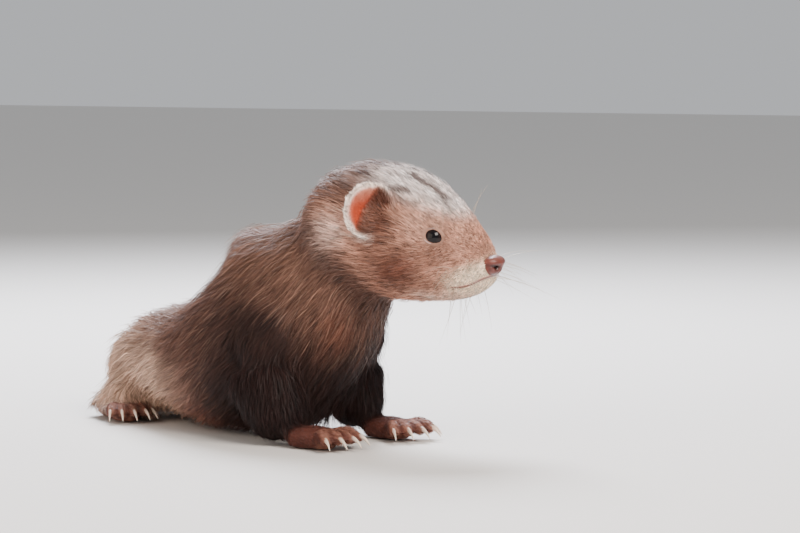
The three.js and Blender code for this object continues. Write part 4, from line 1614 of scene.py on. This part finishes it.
def lip_curve(skin: Skin, side: Side, count: int = 72) -> tuple[np.ndarray, np.ndarray]:
    """The line of the mouth on the skin, from under the nose to the corner of the mouth.

    Args:
        skin: the built skin.
        side: which side of the head.
        count: how many points.
    Returns:
        Points in the head's millimetres and the skin's normals there in the head's frame.
    """
    line = curve_points(tuple((x, 0, z) for x, z in HEAD.lip_line), 200)
    order = np.argsort(line[:, 0])
    points, normals = [], []
    for share in np.linspace(0, 1, count):
        # Round the front of the muzzle first, then straight back to the corner
        angle = math.pi / 2 * min(share / 0.5, 1)
        axis_x = HEAD.muzzle_axis - HEAD.muzzle_back * max(share - 0.5, 0) / 0.5
        ray = np.array([math.cos(angle), side.value * math.sin(angle), 0])
        z = -11.0
        # The height follows from the place that the ray meets, and the other way round
        for _ in range(3):
            start = np.array([axis_x, 0, z]) + ray * 25
            hit, normal, _, _ = skin.surface.ray_cast(Vector(head_to_row(start)), Vector(HEAD_TURN @ -ray))
            if hit is None:
                break
            at = row_to_head(np.array(hit)[None])[0]
            z = float(np.interp(at[0], line[order, 0], line[order, 2]))
        if hit is not None:
            points.append(at)
            normals.append(np.array(normal) @ HEAD_TURN)
    points, normals = np.array(points), np.array(normals)
    for _ in range(6):
        points[1:-1] = 0.5 * points[1:-1] + 0.25 * (points[:-2] + points[2:])
        normals[1:-1] = 0.5 * normals[1:-1] + 0.25 * (normals[:-2] + normals[2:])
    return points, unit(normals)


@dataclass
class Nose:
    """The nose leather with its comma-shaped nostrils.

    Args:
        columns: steps round it.
        rows: steps along it.
        longer_mm: how much longer it is at the back than its hollow.
        larger: its size against the hollow's.
        squareness: how round its section is, 1 for an ellipse and less for a fuller one.
        hole_mm: how deep the nostrils are.
        slit_mm: how deep their slits are.
        groove_mm: how deep the groove below is.
    """

    columns: int = 96
    rows: int = 64
    longer_mm: float = 0.7
    larger: float = 1.06
    squareness: float = 0.86
    hole_mm: float = 1.5
    slit_mm: float = 0.8
    groove_mm: float = 0.45

    def build(self) -> None:
        """Shapes a rounded pad and sinks the nostrils and the groove below them."""
        p = self._pad()
        out = unit(p / np.array(HEAD.nose_half) ** 2)
        side = np.abs(p[:, 1])
        hole = np.exp(-(((side - 2.0) / 0.95) ** 2 + ((p[:, 2] + 0.5) / 0.85) ** 2)) * (p[:, 0] > 0.5)
        beyond = side - 3.3
        slit = np.exp(-((beyond / 1.5) ** 2 + ((p[:, 2] - 0.2 - 0.25 * beyond) / 0.6) ** 2)) * (p[:, 0] > -3)
        groove = np.exp(-((p[:, 1] / 0.35) ** 2)) * step(-p[:, 2], -0.8, 1.2) * (p[:, 0] > 0)
        sink = np.clip(self.hole_mm * hole + self.slit_mm * slit, 0, 1.6) + self.groove_mm * groove
        p = p - out * sink[:, None]
        places = head_to_row(p + np.array(HEAD.nose)).reshape(self.rows, self.columns, 3)
        self.piece = bend_grids("nose_leather", [places], head_to_row(np.array(HEAD.nose)))
        tint = linear(PAINT.nose) * (0.6 + 0.8 * noise(p + 50, 1.1, 3))[:, None]
        tint = mixed(tint, PAINT.nose_top, step(p[:, 2], 0.5, 3))
        # Painted shade: the nostrils, their slits and the groove below are darkened as if deep
        paint(self.piece, mixed(tint, PAINT.nostril, hole * 1.3 + slit + 0.4 * groove))

    def _pad(self) -> np.ndarray:
        """Shapes the pad without its nostrils.

        Returns:
            Its places, row after row, in millimetres from its middle.
        """
        polar = np.linspace(0.02, math.pi - 0.02, self.rows)[:, None]
        angle = np.linspace(0, 2 * math.pi, self.columns, endpoint=False)[None, :]

        def full(value: np.ndarray) -> np.ndarray:
            """A cosine or sine made fuller."""
            return np.sign(value) * np.abs(value) ** self.squareness

        ring = np.sin(polar) ** 0.9
        x = full(np.cos(polar)) * np.ones_like(angle)
        z = full(np.sin(angle)) * ring
        y = full(np.cos(angle)) * ring * (1 + 0.16 * z)
        length, width, height = HEAD.nose_half
        along = (length + self.longer_mm) * x - self.longer_mm + 0.9 * z
        return np.stack([along, width * y, height * z], axis=-1).reshape(-1, 3) * self.larger

    def dress(self) -> None:
        """Puts on the leather."""
        dress(self.piece, LEATHER.make(), ("nose",))


@dataclass
class Lips:
    """The pink edges of the lips and the dark line between them, on one side.

    Args:
        side: which side of the head.
        skin: the built skin.
        half_mm: half their width at the front.
        rows: for each row, its place across and its height, as shares of half_mm, and its colour.
    """

    side: Side
    skin: Skin
    half_mm: float = 0.62
    rows: tuple[tuple[float, float, str], ...] = (
        (-1.1, -0.25, PAINT.lip_edge), (-0.75, 0.16, PAINT.lip), (-0.35, 0.34, PAINT.lip_wet),
        (0.0, 0.02, PAINT.mouth), (0.35, 0.38, PAINT.lip_wet), (0.8, 0.2, PAINT.lip),
        (1.15, -0.25, PAINT.lip_edge),
    )

    def build(self) -> None:
        """Lays a shallow roll on the skin along the line of the mouth."""
        line, normals = lip_curve(self.skin, self.side)
        above = unit(np.cross(unit(np.gradient(line, axis=0)), normals))
        above *= np.sign(above[:, 2:3])
        share = np.linspace(0, 1, len(line))
        size = self.half_mm * (1 - 0.9 * step(share, 0.42, 0.8))[:, None]
        points = np.stack([line + above * across * size + normals * (rise * size + 0.06)
                           for across, rise, _ in self.rows], axis=1)
        inside = head_to_row(np.array([HEAD.lip_line[-1][0], 0, HEAD.lip_line[-1][1]]))
        name = f"lips_{SIDES[self.side]}"
        self.piece = bend_grids(name, [head_to_row(points)], inside, closed=False, capped=False)
        paint(self.piece, np.tile([linear(colour) for *_, colour in self.rows], (len(line), 1)))

    def dress(self) -> None:
        """Puts on moist skin."""
        dress(self.piece, MOIST.make())


# Claws


@dataclass
class Claws:
    """The claws of one foot, each in the place of its CAD node.

    Args:
        foot: the foot's name.
        frame: its place.
        columns: steps round a claw.
        rows: steps along it.
        narrowness: its width against its height.
        floor_mm: how far it stays above the floor.
    """

    foot: str
    frame: FootFrame
    columns: int = 12
    rows: int = 12
    narrowness: float = 0.72
    floor_mm: float = 0.25

    def build(self) -> None:
        """Bends a tapered horn out of each toe."""
        self.pieces = []
        share = np.linspace(0, 1, self.rows)
        radius = CLAW.radius * (1 - share**1.6) + CLAW.tip * share**1.6
        angle = np.linspace(0, 2 * math.pi, self.columns, endpoint=False)
        for toe in range(TOES):
            _, tip, ahead = self.frame.toe(toe)
            steps = [(-0.1, 0.2), (0.3, 0), (0.7, CLAW.drop * 0.35), (1.05, CLAW.drop)]
            line = [tip + ahead * (CLAW.reach * a - CLAW.root) + np.array([0, 0, 1.7 - d]) for a, d in steps]
            centre = curve_points(tuple(map(tuple, line)), self.rows)
            tangent = unit(np.gradient(centre, axis=0))
            side = unit(np.cross(np.array([0, 0, 1.0]), tangent))
            above = np.cross(tangent, side)
            ring = (side[:, None] * np.cos(angle)[None, :, None] * self.narrowness
                    + above[:, None] * np.sin(angle)[None, :, None])
            points = self.frame.to_work(centre[:, None] + ring * radius[:, None, None])
            points[..., 2] = np.maximum(points[..., 2], self.floor_mm)
            middle = to_row(points.mean(axis=(0, 1)))
            piece = bend_grids(f"claw_{self.foot}_{toe + 1}", [to_row(points)], middle)
            root = np.repeat(1 - share, self.columns) ** 1.5
            paint(piece, mixed(np.tile(linear(PAINT.claw_tip), (len(root), 1)), PAINT.claw_root, root))
            self.pieces.append(piece)

    def dress(self, material: bpy.types.Material) -> None:
        """Puts on the horn.

        Args:
            material: the finish that all claws share.
        """
        for toe, piece in enumerate(self.pieces):
            dress(piece, material, (f"{self.foot}_claw_{toe + 1}",))


# Whiskers


@dataclass(frozen=True)
class Bristle:
    """One whisker's root in the head's millimetres, its length and the group it stands in."""

    x: float
    z: float
    length: float
    group: str


@dataclass
class Whiskers:
    """Stiff pale hairs of the muzzle, brow and chin.

    Args:
        skin: the built skin.
        count: how many stand on each whisker pad.
        rows: steps along each.
        thick_mm: its radius at the root.
        past_nose_mm: how far past the nose the longest reach.
    """

    skin: Skin
    count: int = 22
    rows: int = 9
    thick_mm: float = 0.08
    past_nose_mm: float = 9.5

    def build(self) -> None:
        """Curves thin three-sided hairs out of the skin."""
        rng = np.random.default_rng(SEED + 90)
        hairs = []
        for side in Side:
            for bristle in self._plans(rng):
                hair = self._hair(bristle, side.value, rng)
                if hair is not None:
                    hairs.append(head_to_row(hair))
        self.piece = bend_grids("whiskers", hairs, head_to_row(np.array(HEAD.nose)))
        paint(self.piece, np.tile(linear(PAINT.whisker), (len(self.piece.data.vertices), 1)))

    def _plans(self, rng: np.random.Generator) -> list[Bristle]:
        """Plans the whiskers of one side: rows of five on the pad, two on the brow, five at the chin.

        Args:
            rng: the random numbers.
        Returns:
            One plan a whisker.
        """
        roots = [(39.5 - 1.9 * (i % 5) + rng.normal(0, 0.3), -7.0 - 1.5 * (i // 5 % 4) + rng.normal(0, 0.3))
                 for i in range(self.count)]
        plans = [Bristle(x, z, 10 + 14 * rng.random(), "pad") for x, z in roots]
        plans += [Bristle(31 + rng.normal(0, 1.4), 7.5 + rng.normal(0, 0.8), 8 + 6 * rng.random(), "brow")
                  for _ in range(2)]
        plans += [Bristle(33 + rng.normal(0, 3.5), -17.0, 6 + 7 * rng.random(), "chin") for _ in range(5)]
        return plans

    def _hair(self, bristle: Bristle, s: int, rng: np.random.Generator) -> np.ndarray | None:
        """Bends one whisker.

        Args:
            bristle: its plan.
            s: the sign of its side.
            rng: the random numbers.
        Returns:
            Rows of three places round it, in the head's millimetres, or None where its root
            misses the skin.
        """
        surface = self.skin.surface
        start = Vector(head_to_row(np.array([bristle.x, s * 30, bristle.z])))
        hit, normal, _, _ = surface.ray_cast(start, Vector(HEAD_TURN @ np.array([0, -s, 0])))
        if hit is None or bristle.group == "chin":
            below = Vector(head_to_row(np.array([bristle.x, s * 8 * rng.random(), -35])))
            hit, normal, _, _ = surface.ray_cast(below, Vector((0, 0, 1)))
        if hit is None:
            return None
        ways = {
            "pad": np.array([1.6 - 1.9 * rng.random(), s, 0.55 - 1.0 * rng.random()]),
            "brow": np.array([0.5 * rng.random() - 0.1, 0.25 * s, 1.0]),
            "chin": np.array([-0.6 + 1.2 * rng.random(), (1.2 * rng.random() - 0.3) * s, -1.0]),
        }
        ahead = unit(0.72 * unit(ways[bristle.group]) + 0.28 * (HEAD_TURN.T @ np.array(normal)))
        bend = np.array([0.25 * rng.normal(), 0.1 * s, -0.2 if bristle.group == "brow" else -0.55])
        t = np.linspace(0, 1, self.rows)[:, None]
        root = row_to_head(np.array(hit)[None]) - ahead * 0.5
        line = root + (ahead * t + bend * t**2 * 0.5) * bristle.length
        excess = line[:, 0].max() - (HEAD.nose[0] + HEAD.nose_half[0] + self.past_nose_mm)
        if excess > 0:
            line = line[0] + (line - line[0]) * (1 - excess / (line[:, 0].max() - line[0, 0]))
        tangent = unit(np.gradient(line, axis=0))
        a = unit(np.cross(tangent, np.array([0.3, 0.2, 0.9])))
        b = np.cross(tangent, a)
        thick = self.thick_mm * (1 - t**1.3) + 0.01
        turns = [k * 2 * math.pi / 3 for k in range(3)]
        return np.stack([line + thick * (a * math.cos(k) + b * math.sin(k)) for k in turns], axis=1)

    def dress(self) -> None:
        """Puts on the pale bristle finish."""
        dress(self.piece, BRISTLE.make())


# Studio


@dataclass(frozen=True)
class Lamp:
    """A soft square lamp.

    Args:
        name: its name.
        back: how far it stands from the target towards the camera, in metres.
        right: how far to the camera's right.
        up: how far above the target.
        size: its side in metres.
        power: its power in watts.
        colour: its colour, as sRGB hexadecimal.
    """

    name: str
    back: float
    right: float
    up: float
    size: float
    power: float
    colour: str


@dataclass
class Studio:
    """A plain pale floor, soft light and the camera at the photo's viewing angle.

    Args:
        azimuth: the camera's angle round the animal, in degrees.
        elevation: its angle above the floor, in degrees.
        distance_m: its distance.
        lens_mm: its focal length.
        target: what it looks at, in working millimetres.
        sky: how strong the light from all round is.
        floor_m: the floor's side.
        floor_below_mm: how far the floor lies below the soles.
        lamps: the lamps.
    """

    azimuth: float = 30
    elevation: float = 4
    distance_m: float = 1.067
    lens_mm: float = 150
    target: tuple[float, float, float] = (20, 0, 57.5)
    sky: float = 0.68
    floor_m: float = 8
    floor_below_mm: float = 0.2
    lamps: tuple[Lamp, ...] = (
        Lamp("key", 0.6, 0.35, 0.55, 0.45, 12.5, "#fff4ea"),
        Lamp("rim", -0.55, -0.1, 0.6, 0.4, 21.0, "#f2f5ff"),
        Lamp("fill", 0.5, -0.6, 0.2, 0.7, 3.4, "#ffe9d4"),
    )

    def build(self) -> None:
        """Sets floor, lights and camera."""
        self._lay_floor()
        world = bpy.data.worlds.new("studio")
        world.use_nodes = True
        background = world.node_tree.nodes["Background"]
        background.inputs["Color"].default_value = (*linear(PAINT.sky), 1)
        background.inputs["Strength"].default_value = self.sky
        bpy.context.scene.world = world
        target = Vector(to_row(np.array(self.target)))
        a, e = math.radians(self.azimuth), math.radians(self.elevation)
        back = Vector((math.sin(a) * math.cos(e), -math.cos(a) * math.cos(e), math.sin(e)))
        right = Vector((math.cos(a), math.sin(a), 0))
        camera = bpy.data.cameras.new("camera")
        camera.lens = self.lens_mm
        camera.sensor_width = 36
        camera.clip_start = 0.01
        holder = bpy.data.objects.new("camera", camera)
        holder.location = target + back * self.distance_m
        holder.rotation_euler = back.to_track_quat("Z", "Y").to_euler()
        bpy.context.scene.collection.objects.link(holder)
        bpy.context.scene.camera = holder
        for plan in self.lamps:
            lamp = bpy.data.lights.new(plan.name, "AREA")
            lamp.size = plan.size
            lamp.energy = plan.power
            lamp.color = linear(plan.colour)
            stand = bpy.data.objects.new(plan.name, lamp)
            stand.location = target + back * plan.back + right * plan.right + Vector((0, 0, plan.up))
            stand.rotation_euler = (stand.location - target).to_track_quat("Z", "Y").to_euler()
            bpy.context.scene.collection.objects.link(stand)

    def _lay_floor(self) -> None:
        """Lays a wide matt floor just under the soles."""
        bpy.ops.mesh.primitive_plane_add(size=self.floor_m, location=(0, 0, -self.floor_below_mm * MM))
        floor = bpy.context.active_object
        floor.name = "floor"
        matte = bpy.data.materials.new("floor_matte")
        matte.use_nodes = True
        shader = matte.node_tree.nodes["Principled BSDF"]
        shader.inputs["Base Color"].default_value = (*linear(PAINT.floor), 1)
        shader.inputs["Roughness"].default_value = 0.9
        floor.data.materials.append(matte)


def main() -> None:
    """Builds every part in order."""
    logging.basicConfig(level=logging.INFO, format="%(message)s")
    skin = Skin()
    skin.build()
    skin.dress()
    coat = Coat(skin)
    coat.build()
    coat.dress()
    for side in Side:
        for part in (Eye(side), Lips(side, skin)):
            part.build()
            part.dress()
    for part in (Nose(), Whiskers(skin)):
        part.build()
        part.dress()
    horn = HORN.make()
    for name, foot_frame in FEET.items():
        claws = Claws(name, foot_frame)
        claws.build()
        claws.dress(horn)
    Studio().build()


if __name__ == "__main__":
    main()
